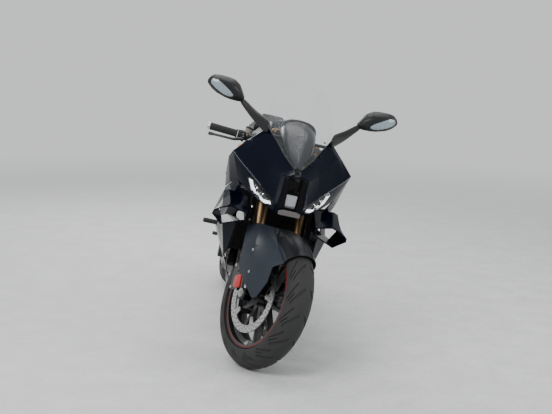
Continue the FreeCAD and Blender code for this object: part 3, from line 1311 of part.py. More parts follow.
def parked_placement():
    """Leans the bike, then pitches and lifts it so that both tyres touch the floor."""
    lean = FreeCAD.Placement(ORIGIN, FreeCAD.Rotation(vec(0, 1, 0), LEAN))
    steer = steer_placement()
    front_centre = steer.multVec(AXLE_FRONT)
    front_axle = steer.Rotation.multVec(X_AXIS)
    pitch = 0.0
    for _ in range(6):
        turn = FreeCAD.Placement(ORIGIN, FreeCAD.Rotation(X_AXIS, pitch)).multiply(lean)
        front = tyre_bottom(turn, front_centre, FRONT_RADIUS, FRONT_CROWN, front_axle)
        rear = tyre_bottom(turn, AXLE_REAR, REAR_RADIUS, REAR_CROWN, X_AXIS)
        pitch -= math.degrees((rear - front) / WHEELBASE)
    lift = FreeCAD.Placement(vec(-ORIGIN_X, -ORIGIN_Y, -rear), FreeCAD.Rotation())
    return lift.multiply(turn)


def export(name, shape, placement):
    solids = []
    for piece in shape if isinstance(shape, (list, tuple)) else [shape]:
        solids += piece.Solids
    placed = []
    for solid in solids:
        moved = solid.copy()
        moved.Placement = placement.multiply(moved.Placement)
        placed.append(moved)
    whole = placed[0] if len(placed) == 1 else Part.makeCompound(placed)
    if not whole.isValid():
        print("not valid:", name)
    whole.exportStep(os.path.join("parts", name + ".step"))
    box = whole.BoundBox
    print("%-22s solids %d volume %10.0f  x %6.0f %6.0f  y %6.0f %6.0f  z %6.0f %6.0f" % (
        name, len(placed), sum(s.Volume for s in placed), box.XMin, box.XMax, box.YMin, box.YMax, box.ZMin, box.ZMax))
    return box


def main():
    os.makedirs("parts", exist_ok=True)
    ground = parked_placement()
    fork = ground.multiply(steer_placement())
    world = FreeCAD.Placement()
    upper_left = upper_fairing()
    side_left = side_fairing()
    block = engine()
    screen = windscreen()
    chassis = {
        "main_frame": main_frame(ground),
        "engine": block,
        "radiator": radiator(),
        "exhaust": exhaust(block),
        "fuel_tank": fuel_tank(),
        "rider_seat": rider_seat(),
        "pillion_seat": pillion_seat(),
        "tail_fairing": tail_fairing(),
        "tail_lamp": tail_lamp(),
        "plate_holder": plate_holder(),
        "nose_cowl": nose_cowl(),
        "headlamps": both(headlamp()),
        "upper_fairing_left": upper_left,
        "upper_fairing_right": mirrored(upper_left),
        "side_fairing_left": side_left,
        "side_fairing_right": mirrored(side_left),
        "belly_pan": belly_pan(block),
        "windscreen": screen,
        "instrument_panel": instrument_panel(),
        "mirrors": mirror_pair(upper_left, screen),
        "mirror_glasses": mirror_glasses(),
        "swingarm": swingarm(),
        "rear_shock": rear_shock(),
        "rear_hugger": rear_hugger(),
        "drive_chain": [drive_chain(), front_sprocket()],
        "rear_axle": hollow_axle(AXLE_REAR, ARM_REAR_OUT, AXLE_REAR_RADIUS, 22.0),
        "rear_caliper": rear_caliper(),
        "footrests": footrests(),
        "rear_rim": rear_rim(),
        "rear_tyre": tyre(AXLE_REAR, REAR_RADIUS, REAR_CROWN, REAR_BEAD_HALF),
        "rear_disc": rear_disc(),
        "rear_sprocket": rear_sprocket(),
    }
    steered = {
        "triple_clamps": triple_clamps(),
        "fork_tubes": fork_tubes(),
        "fork_legs": fork_legs(),
        "handlebars": both(handlebar()),
        "front_mudguard": front_mudguard(),
        "front_axle": hollow_axle(AXLE_FRONT, FORK_HALF + 20, AXLE_FRONT_RADIUS, 19.0),
        "front_calipers": front_calipers(),
        "front_rim": front_rim(),
        "front_tyre": tyre(AXLE_FRONT, FRONT_RADIUS, FRONT_CROWN, FRONT_BEAD_HALF),
        "front_discs": [front_disc(-1), front_disc(1)],
    }
    boxes = [export(name, shape, ground) for name, shape in chassis.items()]
    boxes += [export(name, shape, fork) for name, shape in steered.items()]
    boxes.append(export("side_stand", side_stand(ground), world))
    boxes.append(export("fuel_cap", fuel_cap(), ground))
    print("centre x %.2f y %.2f" % ((min(b.XMin for b in boxes) + max(b.XMax for b in boxes)) / 2,
                                    (min(b.YMin for b in boxes) + max(b.YMax for b in boxes)) / 2))
    print("low z %.3f" % min(b.ZMin for b in boxes))
    pivot, foot, axis = stand_pose(ground)
    at, up, ahead = cap_place()
    hinge = at + ahead * CAP_HINGE + up * CAP_HINGE_UP
    stowed = ground.Rotation.multVec(vec(*STAND_STOWED))
    for label, point in (
            ("front axle", fork.multVec(AXLE_FRONT)), ("front axle way", fork.Rotation.multVec(X_AXIS)),
            ("rear axle", ground.multVec(AXLE_REAR)), ("rear axle way", ground.Rotation.multVec(X_AXIS)),
            ("steering", ground.multVec(steering_point(HEAD_PIPE[0]))),
            ("steering way", ground.Rotation.multVec(FORK_UP)),
            ("stand pivot", pivot), ("stand way", axis),
            ("cap hinge", ground.multVec(hinge)), ("cap way", ground.Rotation.multVec(X_AXIS)),
            ("stem bore", ground.multVec(steering_point(LOWER_CLAMP[0]))),
            ("bobbin left", ground.multVec(bobbin(ARM_REAR_OUT - BOBBIN_DEPTH / 2))),
            ("bobbin right", ground.multVec(bobbin(BOBBIN_DEPTH / 2 - ARM_REAR_OUT))),
            ("lean origin", ground.multVec(ORIGIN)), ("lean x", ground.Rotation.multVec(X_AXIS)),
            ("lean y", ground.Rotation.multVec(vec(0, 1, 0))),
            ("lean z", ground.Rotation.multVec(vec(0, 0, 1))),
            ("fork x", fork.Rotation.multVec(X_AXIS)), ("fork y", fork.Rotation.multVec(vec(0, 1, 0))),
            ("fork z", fork.Rotation.multVec(vec(0, 0, 1))), ("fork origin", fork.multVec(ORIGIN))):
        print("POINT %s %.5f %.5f %.5f" % (label.replace(" ", "_"), point.x, point.y, point.z))
    print("POINT stand_range %.2f 0 0" % math.degrees((foot - pivot).getAngle(stowed)))


main()
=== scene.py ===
import bpy
import bmesh
import json
from math import acos, asin, atan2, copysign, cos, dist, hypot, pi, radians, sin
from mathutils import Matrix, Vector


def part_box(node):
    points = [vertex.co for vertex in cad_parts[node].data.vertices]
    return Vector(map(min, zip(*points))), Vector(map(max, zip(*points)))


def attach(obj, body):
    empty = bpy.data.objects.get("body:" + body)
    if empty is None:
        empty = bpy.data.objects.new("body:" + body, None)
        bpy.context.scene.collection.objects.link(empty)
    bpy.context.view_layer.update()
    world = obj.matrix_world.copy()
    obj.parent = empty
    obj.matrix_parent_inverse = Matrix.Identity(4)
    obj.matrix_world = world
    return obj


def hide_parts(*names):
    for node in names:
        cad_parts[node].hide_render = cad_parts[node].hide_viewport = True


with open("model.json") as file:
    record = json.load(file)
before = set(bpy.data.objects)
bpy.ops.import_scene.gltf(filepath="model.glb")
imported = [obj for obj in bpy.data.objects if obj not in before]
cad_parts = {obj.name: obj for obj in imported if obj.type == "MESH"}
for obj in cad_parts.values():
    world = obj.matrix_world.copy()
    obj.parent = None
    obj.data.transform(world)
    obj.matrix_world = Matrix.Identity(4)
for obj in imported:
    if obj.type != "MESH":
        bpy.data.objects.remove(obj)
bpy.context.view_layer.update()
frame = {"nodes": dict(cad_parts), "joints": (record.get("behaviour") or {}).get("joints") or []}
nodes = frame["nodes"]
joints = {j["name"]: j for j in frame["joints"]}
MM = 0.001


def V(x, y, z):
    return Vector((x, y, z))


# The bike's own upright axes, from the joints: X to the left, Y to the rear, Z up, millimetres
RAKE = radians(23.6)
STEER_REST = radians(26.0)
FRONT, REAR = V(0, -728, 300), V(0, 728, 320)
X = Vector(joints["rear_wheel_spin"]["axis"]).normalized()
S = -Vector(joints["steering"]["axis"]).normalized()
T = X.cross(S)
Y = sin(RAKE) * S - cos(RAKE) * T
Z = cos(RAKE) * S + sin(RAKE) * T
ORIGIN = Vector(joints["rear_wheel_spin"]["pos_m"]) - Y * (REAR.y * MM) - Z * (REAR.z * MM)
BIKE = Matrix((X, Y, Z)).transposed().to_4x4() @ Matrix.Scale(MM, 4)
BIKE.translation = ORIGIN
STEER_AT = Vector(joints["steering"]["pos_m"])
FORK = Matrix.Translation(STEER_AT) @ Matrix.Rotation(STEER_REST, 4, S) @ Matrix.Translation(-STEER_AT) @ BIKE

# Directions in bike millimetres; UP and BACK are the fork's, before it is steered
LEFT, RIGHT, AHEAD, TOP = V(1, 0, 0), V(-1, 0, 0), V(0, -1, 0), V(0, 0, 1)
SIDES = (-1, 1)
UP = V(0, sin(RAKE), cos(RAKE))
BACK = V(0, cos(RAKE), -sin(RAKE))

# Camera, fitted to the photograph, in millimetres before the bike's slight pitch; focal length in frame widths
CAM_AT = V(-305.6, -5571.7, 1551.1)
CAM_AZ, CAM_EL, CAM_ROLL = -0.085, 0.174, 0.027
CAM_FOCAL = 1166.1 / 552.0
SENSOR = 36.0


def show(name, data):
    obj = bpy.data.objects.new(name, data)
    bpy.context.scene.collection.objects.link(obj)
    return obj


def camera():
    turn = Matrix.Rotation(atan2(Y.z, Y.y), 4, "X")
    ahead = V(-sin(CAM_AZ) * cos(CAM_EL), cos(CAM_AZ) * cos(CAM_EL), -sin(CAM_EL))
    right = ahead.cross(TOP).normalized()
    up = right.cross(ahead)
    right, up = (right * cos(CAM_ROLL) + up * sin(CAM_ROLL),
                 up * cos(CAM_ROLL) - right * sin(CAM_ROLL))
    data = bpy.data.cameras.new("camera")
    data.sensor_width = SENSOR
    data.lens = CAM_FOCAL * SENSOR
    data.clip_end = 100.0
    cam = show("camera", data)
    cam.matrix_world = (Matrix.Translation(ORIGIN) @ turn @ Matrix.Translation(CAM_AT * MM)
                        @ Matrix((right, up, -ahead)).transposed().to_4x4())
    bpy.context.scene.camera = cam


# Studio. Lights, in metres. columns: place, target, size, power
BACKDROP = (0.80, 0.81, 0.82, 1)
SKY, SKY_POWER = (0.92, 0.96, 1.0, 1), 0.42
FLOOR_RINGS, FLOOR_STEPS = (0.8, 1.8, 3.2, 6, 14, 40, 90), 48
FADE_NEAR, FADE_FAR = 1.8, 6.5
LIGHTS = {
    "key": ((-2.6, -3.2, 3.4), (0, -0.2, 0.6), (2.4, 1.6), 120),
    "fill": ((3.2, -2.6, 2.2), (0, 0, 0.6), (2.0, 2.0), 60),
    "top": ((0.2, 0.6, 3.6), (0, 0, 0.5), (2.6, 2.6), 75),
    "back": ((-1.4, 3.4, 2.4), (0, 0.3, 0.6), (2.0, 1.4), 60),
}


def feed(tree, node, inputs):
    """Give sockets of a shader node their values, or the sockets that feed them."""
    for socket, value in inputs.items():
        if isinstance(value, bpy.types.NodeSocket):
            tree.links.new(value, node.inputs[socket])
        else:
            node.inputs[socket].default_value = value


def add(tree, kind, inputs={}, **settings):
    """A new shader node of a kind, with its settings and what feeds it."""
    node = tree.nodes.new("ShaderNode" + kind)
    for key, value in settings.items():
        setattr(node, key, value)
    feed(tree, node, inputs)
    return node


def floor_finish():
    """A pale floor that fades into the backdrop away from the bike."""
    m = surface("floor_pale", (0.72, 0.72, 0.71), 0.75, 0, 0, 0.5, 40, 0.03, 0, 0)
    tree = m.node_tree
    place = add(tree, "TexCoord").outputs["Object"]
    far = add(tree, "VectorMath", {0: place}, operation="LENGTH").outputs["Value"]
    fade = add(tree, "MapRange", {"From Min": FADE_NEAR, "From Max": FADE_FAR, "Value": far}).outputs[0]
    flat = add(tree, "Emission", {"Color": BACKDROP}).outputs[0]
    mix = add(tree, "MixShader", {0: fade, 1: tree.nodes["Principled BSDF"].outputs[0], 2: flat})
    feed(tree, tree.nodes["Material Output"], {0: mix.outputs[0]})
    return m


def studio():
    """A soft sky, the backdrop as the camera and reflections see it, a round floor and four lights."""
    world = bpy.data.worlds.new("studio")
    bpy.context.scene.world = world
    world.use_nodes = True
    tree = world.node_tree
    tree.nodes.clear()
    lit = add(tree, "Background", {"Color": SKY, "Strength": SKY_POWER}).outputs[0]
    seen = add(tree, "Background", {"Color": BACKDROP, "Strength": 1.0}).outputs[0]
    path = add(tree, "LightPath").outputs
    share = path["Is Camera Ray"]
    for ray in ("Is Glossy Ray", "Is Transmission Ray"):
        share = add(tree, "Math", {0: share, 1: path[ray]}, operation="MAXIMUM").outputs[0]
    add(tree, "OutputWorld", {0: add(tree, "MixShader", {0: share, 1: lit, 2: seen}).outputs[0]})
    points, faces = rows([[polar(Vector(), 0, r, 2 * pi * k / FLOOR_STEPS).yzx for k in range(FLOOR_STEPS)]
                          for r in FLOOR_RINGS], caps=False)
    mesh = bpy.data.meshes.new("floor")
    mesh.from_pydata(points, [], [tuple(range(FLOOR_STEPS))] + faces)
    floor = show("floor", mesh)
    floor.data.materials.append(floor_finish())
    for name, (at, target, size, power) in LIGHTS.items():
        data = bpy.data.lights.new(name, "AREA")
        data.shape = "RECTANGLE"
        data.size, data.size_y = size
        data.energy = power
        lamp = show(name, data)
        lamp.location = at
        lamp.rotation_mode = "QUATERNION"
        lamp.rotation_quaternion = (Vector(target) - Vector(at)).to_track_quat("-Z", "Y")


def surface(name, colour, rough, metal, coat, spec, grain, drift, bump, relief,
            coat_rough=0.05, wear=0, alpha=1, glow=0, stretch=(1, 1, 1), sheen=0):
    """A procedural finish: colour and roughness drift with noise, with fine bump and paler edges."""
    m = bpy.data.materials.new(name)
    m.use_nodes = True
    tree = m.node_tree
    shader = tree.nodes["Principled BSDF"]
    place = add(tree, "TexCoord").outputs["Object"]
    place = add(tree, "Mapping", {"Scale": stretch, 0: place}).outputs[0]

    def noise(scale, detail):
        return add(tree, "TexNoise", {"Scale": scale, "Detail": detail, "Vector": place}).outputs["Fac"]

    def mix(share, first, second, **settings):
        return add(tree, "Mix", {0: share, 6: first, 7: second}, data_type="RGBA", **settings).outputs[2]
    mottle = add(tree, "Math", {0: noise(grain, 4.0), 1: noise(7.0, 2.0)}, operation="ADD").outputs[0]

    def swing(low, high):
        return add(tree, "MapRange", {"From Min": 0.6, "From Max": 1.4, "To Min": low, "To Max": high,
                                      "Value": mottle}).outputs[0]
    last = mix(1.0, (*colour, 1), swing(1 - drift * 4, 1 + drift * 4), blend_type="MULTIPLY")
    if wear:
        edge = add(tree, "NewGeometry").outputs["Pointiness"]
        worn = add(tree, "MapRange", {"From Min": 0.52, "From Max": 0.62, "To Max": wear, "Value": edge})
        last = mix(worn.outputs[0], last, tuple(min(1, c * 2.2 + 0.05) for c in colour) + (1,))
    feed(tree, shader, {
        "Metallic": metal, "Coat Weight": coat, "Coat Roughness": coat_rough, "Specular IOR Level": spec,
        "Alpha": alpha, "Sheen Weight": sheen, "Base Color": last,
        "Roughness": swing(max(0.0, rough * 0.85), min(1.0, rough * 1.15))})
    if bump:
        fine = add(tree, "Bump", {"Strength": relief, "Distance": 0.001, "Height": noise(bump, 3.0)})
        feed(tree, shader, {"Normal": fine.outputs[0]})
    if glow:
        feed(tree, shader, {"Emission Color": last, "Emission Strength": glow})
    return m


# Finishes. columns: colour, roughness, metal, coat, specular, grain and its drift, bump and its relief, extras
FINISH = {
    "paint_navy": ((0.0020, 0.0035, 0.0105), 0.24, 0, 0.12, 0.03, 900, 0.05, 0, 0, dict(coat_rough=0.03)),
    "paint_black": ((0.0035, 0.0035, 0.0045), 0.28, 0, 0.16, 0.04, 700, 0.04, 0, 0, {}),
    "plastic_matt": ((0.010, 0.010, 0.011), 0.55, 0, 0, 0.25, 500, 0.06, 1400, 0.25, {}),
    "plastic_satin": ((0.012, 0.012, 0.013), 0.36, 0, 0, 0.28, 500, 0.05, 1100, 0.1, {}),
    "guard_slate": ((0.020, 0.027, 0.037), 0.38, 0, 0, 0.3, 600, 0.05, 1000, 0.08, {}),
    "frame_black": ((0.012, 0.012, 0.013), 0.42, 0, 0, 0.3, 300, 0.05, 800, 0.15, dict(wear=0.2)),
    "engine_grey": ((0.055, 0.055, 0.058), 0.5, 0.4, 0, 0.5, 200, 0.06, 500, 0.35, dict(wear=0.4)),
    "exhaust_steel": ((0.17, 0.16, 0.15), 0.36, 1, 0, 0.5, 60, 0.08, 700, 0.05, {}),
    "radiator_black": ((0.030, 0.030, 0.032), 0.5, 0.6, 0, 0.5, 400, 0.06, 900, 0.1, {}),
    "seat_black": ((0.011, 0.011, 0.012), 0.6, 0, 0, 0.3, 350, 0.07, 1600, 0.5, dict(sheen=0.03)),
    "fork_gold": ((0.135, 0.088, 0.046), 0.36, 1, 0, 0.5, 300, 0.03, 0, 0, dict(stretch=(1, 1, 0.1))),
    "fork_chrome": ((0.75, 0.75, 0.76), 0.08, 1, 0, 0.5, 300, 0.02, 0, 0, {}),
    "metal_steel": ((0.50, 0.50, 0.50), 0.28, 1, 0, 0.5, 500, 0.05, 900, 0.04, {}),
    "chain_steel": ((0.30, 0.27, 0.22), 0.35, 1, 0, 0.5, 500, 0.08, 900, 0.1, {}),
    "disc_steel": ((0.50, 0.50, 0.49), 0.32, 1, 0, 0.5, 700, 0.05, 1200, 0.04, {}),
    "wheel_black": ((0.012, 0.012, 0.013), 0.34, 0, 0.3, 0.5, 400, 0.05, 900, 0.06, dict(wear=0.15)),
    "tyre_rubber": ((0.018, 0.018, 0.018), 0.72, 0, 0, 0.5, 260, 0.12, 1200, 0.5, {}),
    "grip_rubber": ((0.015, 0.015, 0.015), 0.7, 0, 0, 0.5, 400, 0.08, 900, 0.6, {}),
    "caliper_black": ((0.014, 0.014, 0.015), 0.3, 0, 0.4, 0.5, 400, 0.05, 900, 0.08, {}),
    "caliper_red": ((0.50, 0.012, 0.010), 0.3, 0, 0.5, 0.5, 400, 0.04, 0, 0, {}),
    "lens_red": ((0.45, 0.008, 0.008), 0.12, 0, 0.8, 0.5, 200, 0.03, 0, 0, dict(glow=0.15)),
    "mirror_glass": ((0.80, 0.81, 0.83), 0.02, 1, 0, 0.5, 50, 0.005, 0, 0, {}),
    "lens_clear": ((0.08, 0.09, 0.10), 0.03, 0, 0.35, 0.3, 50, 0.01, 0, 0, dict(alpha=0.22, coat_rough=0.01)),
    "stripe_red": ((0.20, 0.008, 0.008), 0.4, 0, 0, 0.2, 300, 0.04, 0, 0, {}),
    "lamp_white": ((0.90, 0.93, 1.0), 0.25, 0, 0, 0.5, 60, 0.01, 0, 0, dict(glow=1.6)),
    "lens_dark": ((0.010, 0.012, 0.015), 0.04, 0, 1, 0.5, 60, 0.02, 0, 0, dict(coat_rough=0.01)),
    # lens_painted_reflection: clear plastic given a pale blue-grey, a painted reflection of the surroundings
    "lens_painted_reflection": ((0.26, 0.33, 0.37), 0.12, 0, 0.6, 0.5, 120, 0.03, 0, 0, {}),
    "lens_amber": ((0.70, 0.22, 0.02), 0.12, 0, 0.8, 0.5, 200, 0.03, 0, 0, {}),
    "display_dark": ((0.010, 0.012, 0.014), 0.06, 0, 0.6, 0.5, 90, 0.02, 0, 0, {}),
    "plate_silver": ((0.42, 0.44, 0.47), 0.24, 0.7, 0.4, 0.5, 250, 0.03, 0, 0, {}),
    "plate_white": ((0.78, 0.78, 0.77), 0.35, 0, 0, 0.5, 300, 0.02, 700, 0.05, {}),
    "lever_alloy": ((0.060, 0.060, 0.064), 0.34, 0.6, 0, 0.5, 400, 0.05, 900, 0.04, {}),
    "cup_smoke": ((0.22, 0.20, 0.17), 0.2, 0, 0.5, 0.5, 150, 0.03, 0, 0, {}),
    "pad_rubber": ((0.012, 0.012, 0.013), 0.75, 0, 0, 0.5, 300, 0.08, 420, 0.9, {}),
    "screen_clear": ((0.30, 0.33, 0.36), 0.02, 0, 0.5, 0.4, 50, 0.01, 0, 0, dict(alpha=0.055, coat_rough=0.01)),
    "hood_grey": ((0.012, 0.013, 0.0145), 0.24, 0, 0.14, 0.12, 500, 0.05, 0, 0, {}),
    # crease_painted_highlight: a pale blue-grey, a painted highlight for the light caught along the fairing
    # creases
    "crease_painted_highlight": ((0.035, 0.050, 0.070), 0.16, 0, 0.6, 0.5, 900, 0.03, 0, 0, {}),
    "lip_grey": ((0.10, 0.096, 0.092), 0.3, 0, 0.3, 0.3, 500, 0.04, 0, 0, {}),
}
finish = {name: surface(name, *columns, **extra) for name, (*columns, extra) in FINISH.items()}

# The solids that wear each finish
WEARERS = {
    "paint_navy": "fuel_tank tail_fairing upper_fairing_left upper_fairing_right "
                  "side_fairing_left side_fairing_right",
    "paint_black": "nose_cowl", "plastic_matt": "plate_holder", "plastic_satin": "belly_pan mirrors rear_hugger",
    "guard_slate": "front_mudguard", "engine_grey": "engine", "exhaust_steel": "exhaust",
    "frame_black": "main_frame swingarm footrests triple_clamps side_stand fuel_cap",
    "radiator_black": "radiator", "seat_black": "rider_seat pillion_seat", "fork_gold": "fork_tubes",
    "fork_chrome": "fork_legs", "metal_steel": "rear_shock rear_axle front_axle rear_sprocket",
    "chain_steel": "drive_chain", "disc_steel": "front_discs rear_disc", "wheel_black": "front_rim rear_rim",
    "tyre_rubber": "front_tyre rear_tyre", "grip_rubber": "handlebars", "hood_grey": "instrument_panel",
    "caliper_black": "front_calipers rear_caliper", "lens_red": "tail_lamp", "mirror_glass": "mirror_glasses",
    "lens_clear": "headlamps", "screen_clear": "windscreen",
}
WEARS = {name: look for look, names in WEARERS.items() for name in names.split()}
NODE_WELD, NODE_CREASE = 0.00002, radians(32)


def two_tones(look, node, way, limit, colour, both_sides=False):
    """Give a node's finish a second colour within a distance along way from the front axle, in metres."""
    tree = finish[look].node_tree
    shader = tree.nodes["Principled BSDF"]
    own = shader.inputs["Base Color"].links[0].from_socket
    local = nodes[node].matrix_world.inverted()
    along = (local.to_3x3() @ (FORK.to_3x3() @ way)).normalized()
    place = add(tree, "TexCoord").outputs["Object"]
    last = add(tree, "VectorMath", {1: along, 0: place}, operation="DOT_PRODUCT").outputs["Value"]
    for kind, value in (("SUBTRACT", along.dot(local @ (FORK @ FRONT))),
                        ("ABSOLUTE" if both_sides else "ADD", 0.0), ("LESS_THAN", limit)):
        last = add(tree, "Math", {1: value, 0: last}, operation=kind).outputs[0]
    both = add(tree, "Mix", {7: (*colour, 1), 0: last, 6: own}, data_type="RGBA")
    feed(tree, shader, {"Base Color": both.outputs[2]})


def dress_nodes():
    two_tones("guard_slate", "front_mudguard", LEFT, 0.0735, (0.0045, 0.0055, 0.0080), True)
    two_tones("fork_chrome", "fork_legs", UP, 0.135, (0.05, 0.05, 0.052))
    for name, node in nodes.items():
        node.data.materials.clear()
        node.data.materials.append(finish[WEARS[name]])
        smooth(node.data)
        node.modifiers.new("weld", "WELD").merge_threshold = NODE_WELD
        node.modifiers.new("crease", "EDGE_SPLIT").split_angle = NODE_CREASE


# Building tools. Points are bike millimetres; a part is a pair of lists, points and faces
def smooth(mesh):
    for face in mesh.polygons:
        face.use_smooth = True


def on_fork(along, back=0.0, x=0.0):
    """A point along the fork leg from the axle, moved back square to it."""
    return FRONT + UP * along + BACK * back + V(x, 0, 0)


def polar(centre, x, radius, a):
    """A point about a sideways axis; the angle runs from the rear upwards, in radians."""
    return centre + V(x, radius * cos(a), radius * sin(a))


def wheel_point(centre, x, radius, degrees):
    return polar(centre, x, radius, radians(degrees))


def across(p):
    return V(-p[0], p[1], p[2])


def corners(a1, b1, a2, b2):
    return [(a1, b1), (a2, b1), (a2, b2), (a1, b2)]


def join(parts):
    """One part of a list of parts; a single part stays as it is."""
    if isinstance(parts, tuple):
        return parts
    points, faces = [], []
    for p, f in parts:
        faces += [tuple(i + len(points) for i in face) for face in f]
        points += p
    return points, faces


def pair(parts):
    """The part or parts, and the same on the other side of the bike."""
    points, faces = join(parts)
    return join([(points, faces), ([across(p) for p in points], [tuple(reversed(f)) for f in faces])])


def rows(rings, closed=True, caps=True, wrap=False):
    """Faces between like rings of points; caps close the ends, wrap joins the last ring to the first."""
    n = len(rings[0])
    points = [p for ring in rings for p in ring]
    faces = []
    for a in range(len(rings) - (0 if wrap else 1)):
        b = (a + 1) % len(rings)
        for i in range(n if closed else n - 1):
            j = (i + 1) % n
            faces.append((a * n + i, a * n + j, b * n + j, b * n + i))
    if caps and closed and not wrap:
        faces.append(tuple(range(n - 1, -1, -1)))
        faces.append(tuple((len(rings) - 1) * n + i for i in range(n)))
    return points, faces


def basis(way):
    way = Vector(way).normalized()
    side = way.cross(TOP if abs(way.z) < 0.9 else -AHEAD).normalized()
    return way, side, way.cross(side)


def lathe(at, way, profile, steps=32, wrap=False):
    """A turned part. profile is (distance along way, radius) pairs, with a third item 6 for a hexagon."""
    way, side, over = basis(way)
    rings = []
    for along, radius, *shape in profile:
        ring = []
        for i in range(steps):
            a = 2 * pi * i / steps
            r = radius
            if shape:
                sector = 2 * pi / shape[0]
                r = radius / cos((a % sector) - sector / 2)
            ring.append(at + way * along + side * (r * cos(a)) + over * (r * sin(a)))
        rings.append(ring)
    return rows(rings, wrap=wrap)


def collar(at, way, bore, radius, length, steps):
    return lathe(at, way, [(0, bore), (0, radius), (length, radius), (length, bore)], steps, wrap=True)


def curve(points, per=8):
    """A smooth line through the points."""
    pts = [points[0] * 2 - points[1]] + points + [points[-1] * 2 - points[-2]]
    line = []
    for a, b, c, d in zip(pts, pts[1:], pts[2:], pts[3:]):
        for i in range(per):
            t = i / per
            line.append(0.5 * ((2 * b) + (c - a) * t + (2 * a - 5 * b + 4 * c - d) * t * t
                               + (3 * b - a - 3 * c + d) * t ** 3))
    return line + [pts[-2]]


def tube(line, radius, steps=10):
    """A round tube along a line of points; radius may be a list, one for each point."""
    radii = radius if isinstance(radius, list) else [radius] * len(line)
    ways = [(b - a).normalized() for a, b in zip(line, line[1:])]
    ways.append(ways[-1])
    _, side, _ = basis(ways[0])
    rings = []
    for i, (p, r) in enumerate(zip(line, radii)):
        way = (ways[i] + ways[max(0, i - 1)]).normalized()
        side = (side - way * side.dot(way)).normalized()
        over = way.cross(side)
        turns = [2 * pi * k / steps for k in range(steps)]
        rings.append([p + side * (r * cos(a)) + over * (r * sin(a)) for a in turns])
    return rows(rings)


def plate(outline, way, thick):
    """A flat outline of points given thickness along way."""
    step = Vector(way).normalized() * thick
    return rows([list(outline), [p + step for p in outline]])


def round_off(outline, radius, steps=4):
    """A flat closed outline with its corners rounded."""
    done = []
    for i, corner in enumerate(outline):
        before, after = outline[i - 1] - corner, outline[(i + 1) % len(outline)] - corner
        reach = min(radius, 0.45 * before.length, 0.45 * after.length)
        a, b = corner + before.normalized() * reach, corner + after.normalized() * reach
        for k in range(steps + 1):
            t = k / steps
            done.append(a * (1 - t) ** 2 + corner * (2 * t * (1 - t)) + b * t * t)
    return done


def slab(outline, radius, way, thick):
    return plate(round_off(outline, radius), way, thick)


def hoop(outer, inner, step):
    """A flat frame between two like outlines, given thickness by a step."""
    return rows([outer, inner, [p + step for p in inner], [p + step for p in outer]], wrap=True)


def blend(p, q, t):
    return [a + (b - a) * t for a, b in zip(p, q)]


def between(table, at):
    """A table's other columns where its first column has a value."""
    for (first, *a), (second, *b) in zip(table, table[1:]):
        if at <= second:
            return blend(a, b, (at - first) / (second - first))


def resample(path, n):
    """n + 1 points spaced evenly along a path of (a, b) pairs."""
    lengths = [0.0]
    for p, q in zip(path, path[1:]):
        lengths.append(lengths[-1] + dist(p, q))
    done, at = [], 0
    for i in range(n + 1):
        want = lengths[-1] * i / n
        while at < len(path) - 2 and lengths[at + 1] < want:
            at += 1
        done.append(blend(path[at], path[at + 1], (want - lengths[at]) / (lengths[at + 1] - lengths[at])))
    return done


def piece(name, part, look, body="chassis", split=34, bevel=0.0, soften=0, replaces=()):
    """An object from a part or parts, in the row frame, with its finish, riding on a body."""
    points, faces = join(part)
    mesh = bpy.data.meshes.new(name)
    mesh.from_pydata([tuple(p) for p in points], [], faces)
    mesh.transform(FORK if body in ("fork", "front_wheel") else BIKE)
    work = bmesh.new()
    work.from_mesh(mesh)
    bmesh.ops.remove_doubles(work, verts=work.verts, dist=1e-6)
    bmesh.ops.recalc_face_normals(work, faces=work.faces)
    work.to_mesh(mesh)
    work.free()
    smooth(mesh)
    mesh.materials.append(finish[look])
    obj = show(name, mesh)
    if bevel:
        edge = obj.modifiers.new("bevel", "BEVEL")
        edge.width = bevel * MM
        edge.segments = 2
        edge.limit_method = "ANGLE"
        edge.angle_limit = radians(40)
    if soften:
        sub = obj.modifiers.new("soft", "SUBSURF")
        sub.levels = sub.render_levels = soften
    else:
        obj.modifiers.new("crease", "EDGE_SPLIT").split_angle = radians(split)
    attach(obj, body)
    if replaces:
        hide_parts(*replaces)
    return obj


def bolt(at, way, radius, height=None):
    """A button-head screw with a hexagon socket, on its washer."""
    h = height or radius * 0.75
    return lathe(at, way, [(0, radius * 1.45), (0.9, radius * 1.45), (0.9, radius), (h * 0.7, radius),
                           (h, radius * 0.82), (h, radius * 0.5, 6), (h * 0.35, radius * 0.5, 6)], 24)


def hex_nut(at, way, radius, height):
    return lathe(at, way, [(0, radius * 1.2), (1.2, radius * 1.2), (1.2, radius * 0.87, 6),
                           (height, radius * 0.87, 6), (height, radius * 0.5), (height + 2.5, radius * 0.5)], 24)


# Wheels. columns: name, centre, tyre radius, crown radius, half width at the bead, groove depth, sweep
WHEELS = (("front", FRONT, 300.0, 60.0, 44.5, 4.0, 1.25), ("rear", REAR, 320.0, 94.0, 76.2, 4.5, -1.1))
FLANGE_TOP, BEAD_SEAT, FLANGE = 221.0, 213.0, 6.5
TREAD_REPEATS = 17
# Hubs. columns: name, centre, half width, radius, bearing's bore
HUBS = (("front", FRONT, 52, 34, 13.5), ("rear", REAR, 62, 42, 15))
# On both rims: the red stripe's radii, the valve, and a balance weight's outline as x and angle
STRIPE_LOW, STRIPE_HIGH = 214.6, 218.4
VALVE_RADIUS, VALVE_ANGLE = 201, 72
VALVE = [(-6, 5.5), (0, 5.5), (3, 4), (12, 4), (12, 3), (30, 3), (30, 4), (38, 4), (38, 2)]
WEIGHT_RADIUS = 191.5
WEIGHT = [(14, 150), (14, 152.4), (14, 154.8), (26, 154.8), (26, 152.4), (26, 150)]

# Tread grooves. columns: side (0 for both), start and width as a share of one repeat, inner and outer end
GROOVES = [
    (0, 0.06, 0.11, 0.10, 0.66),
    (0, 0.56, 0.08, 0.42, 0.90),
    (1, 0.34, 0.06, 0.55, 0.80),
    (-1, 0.82, 0.06, 0.55, 0.80),
]


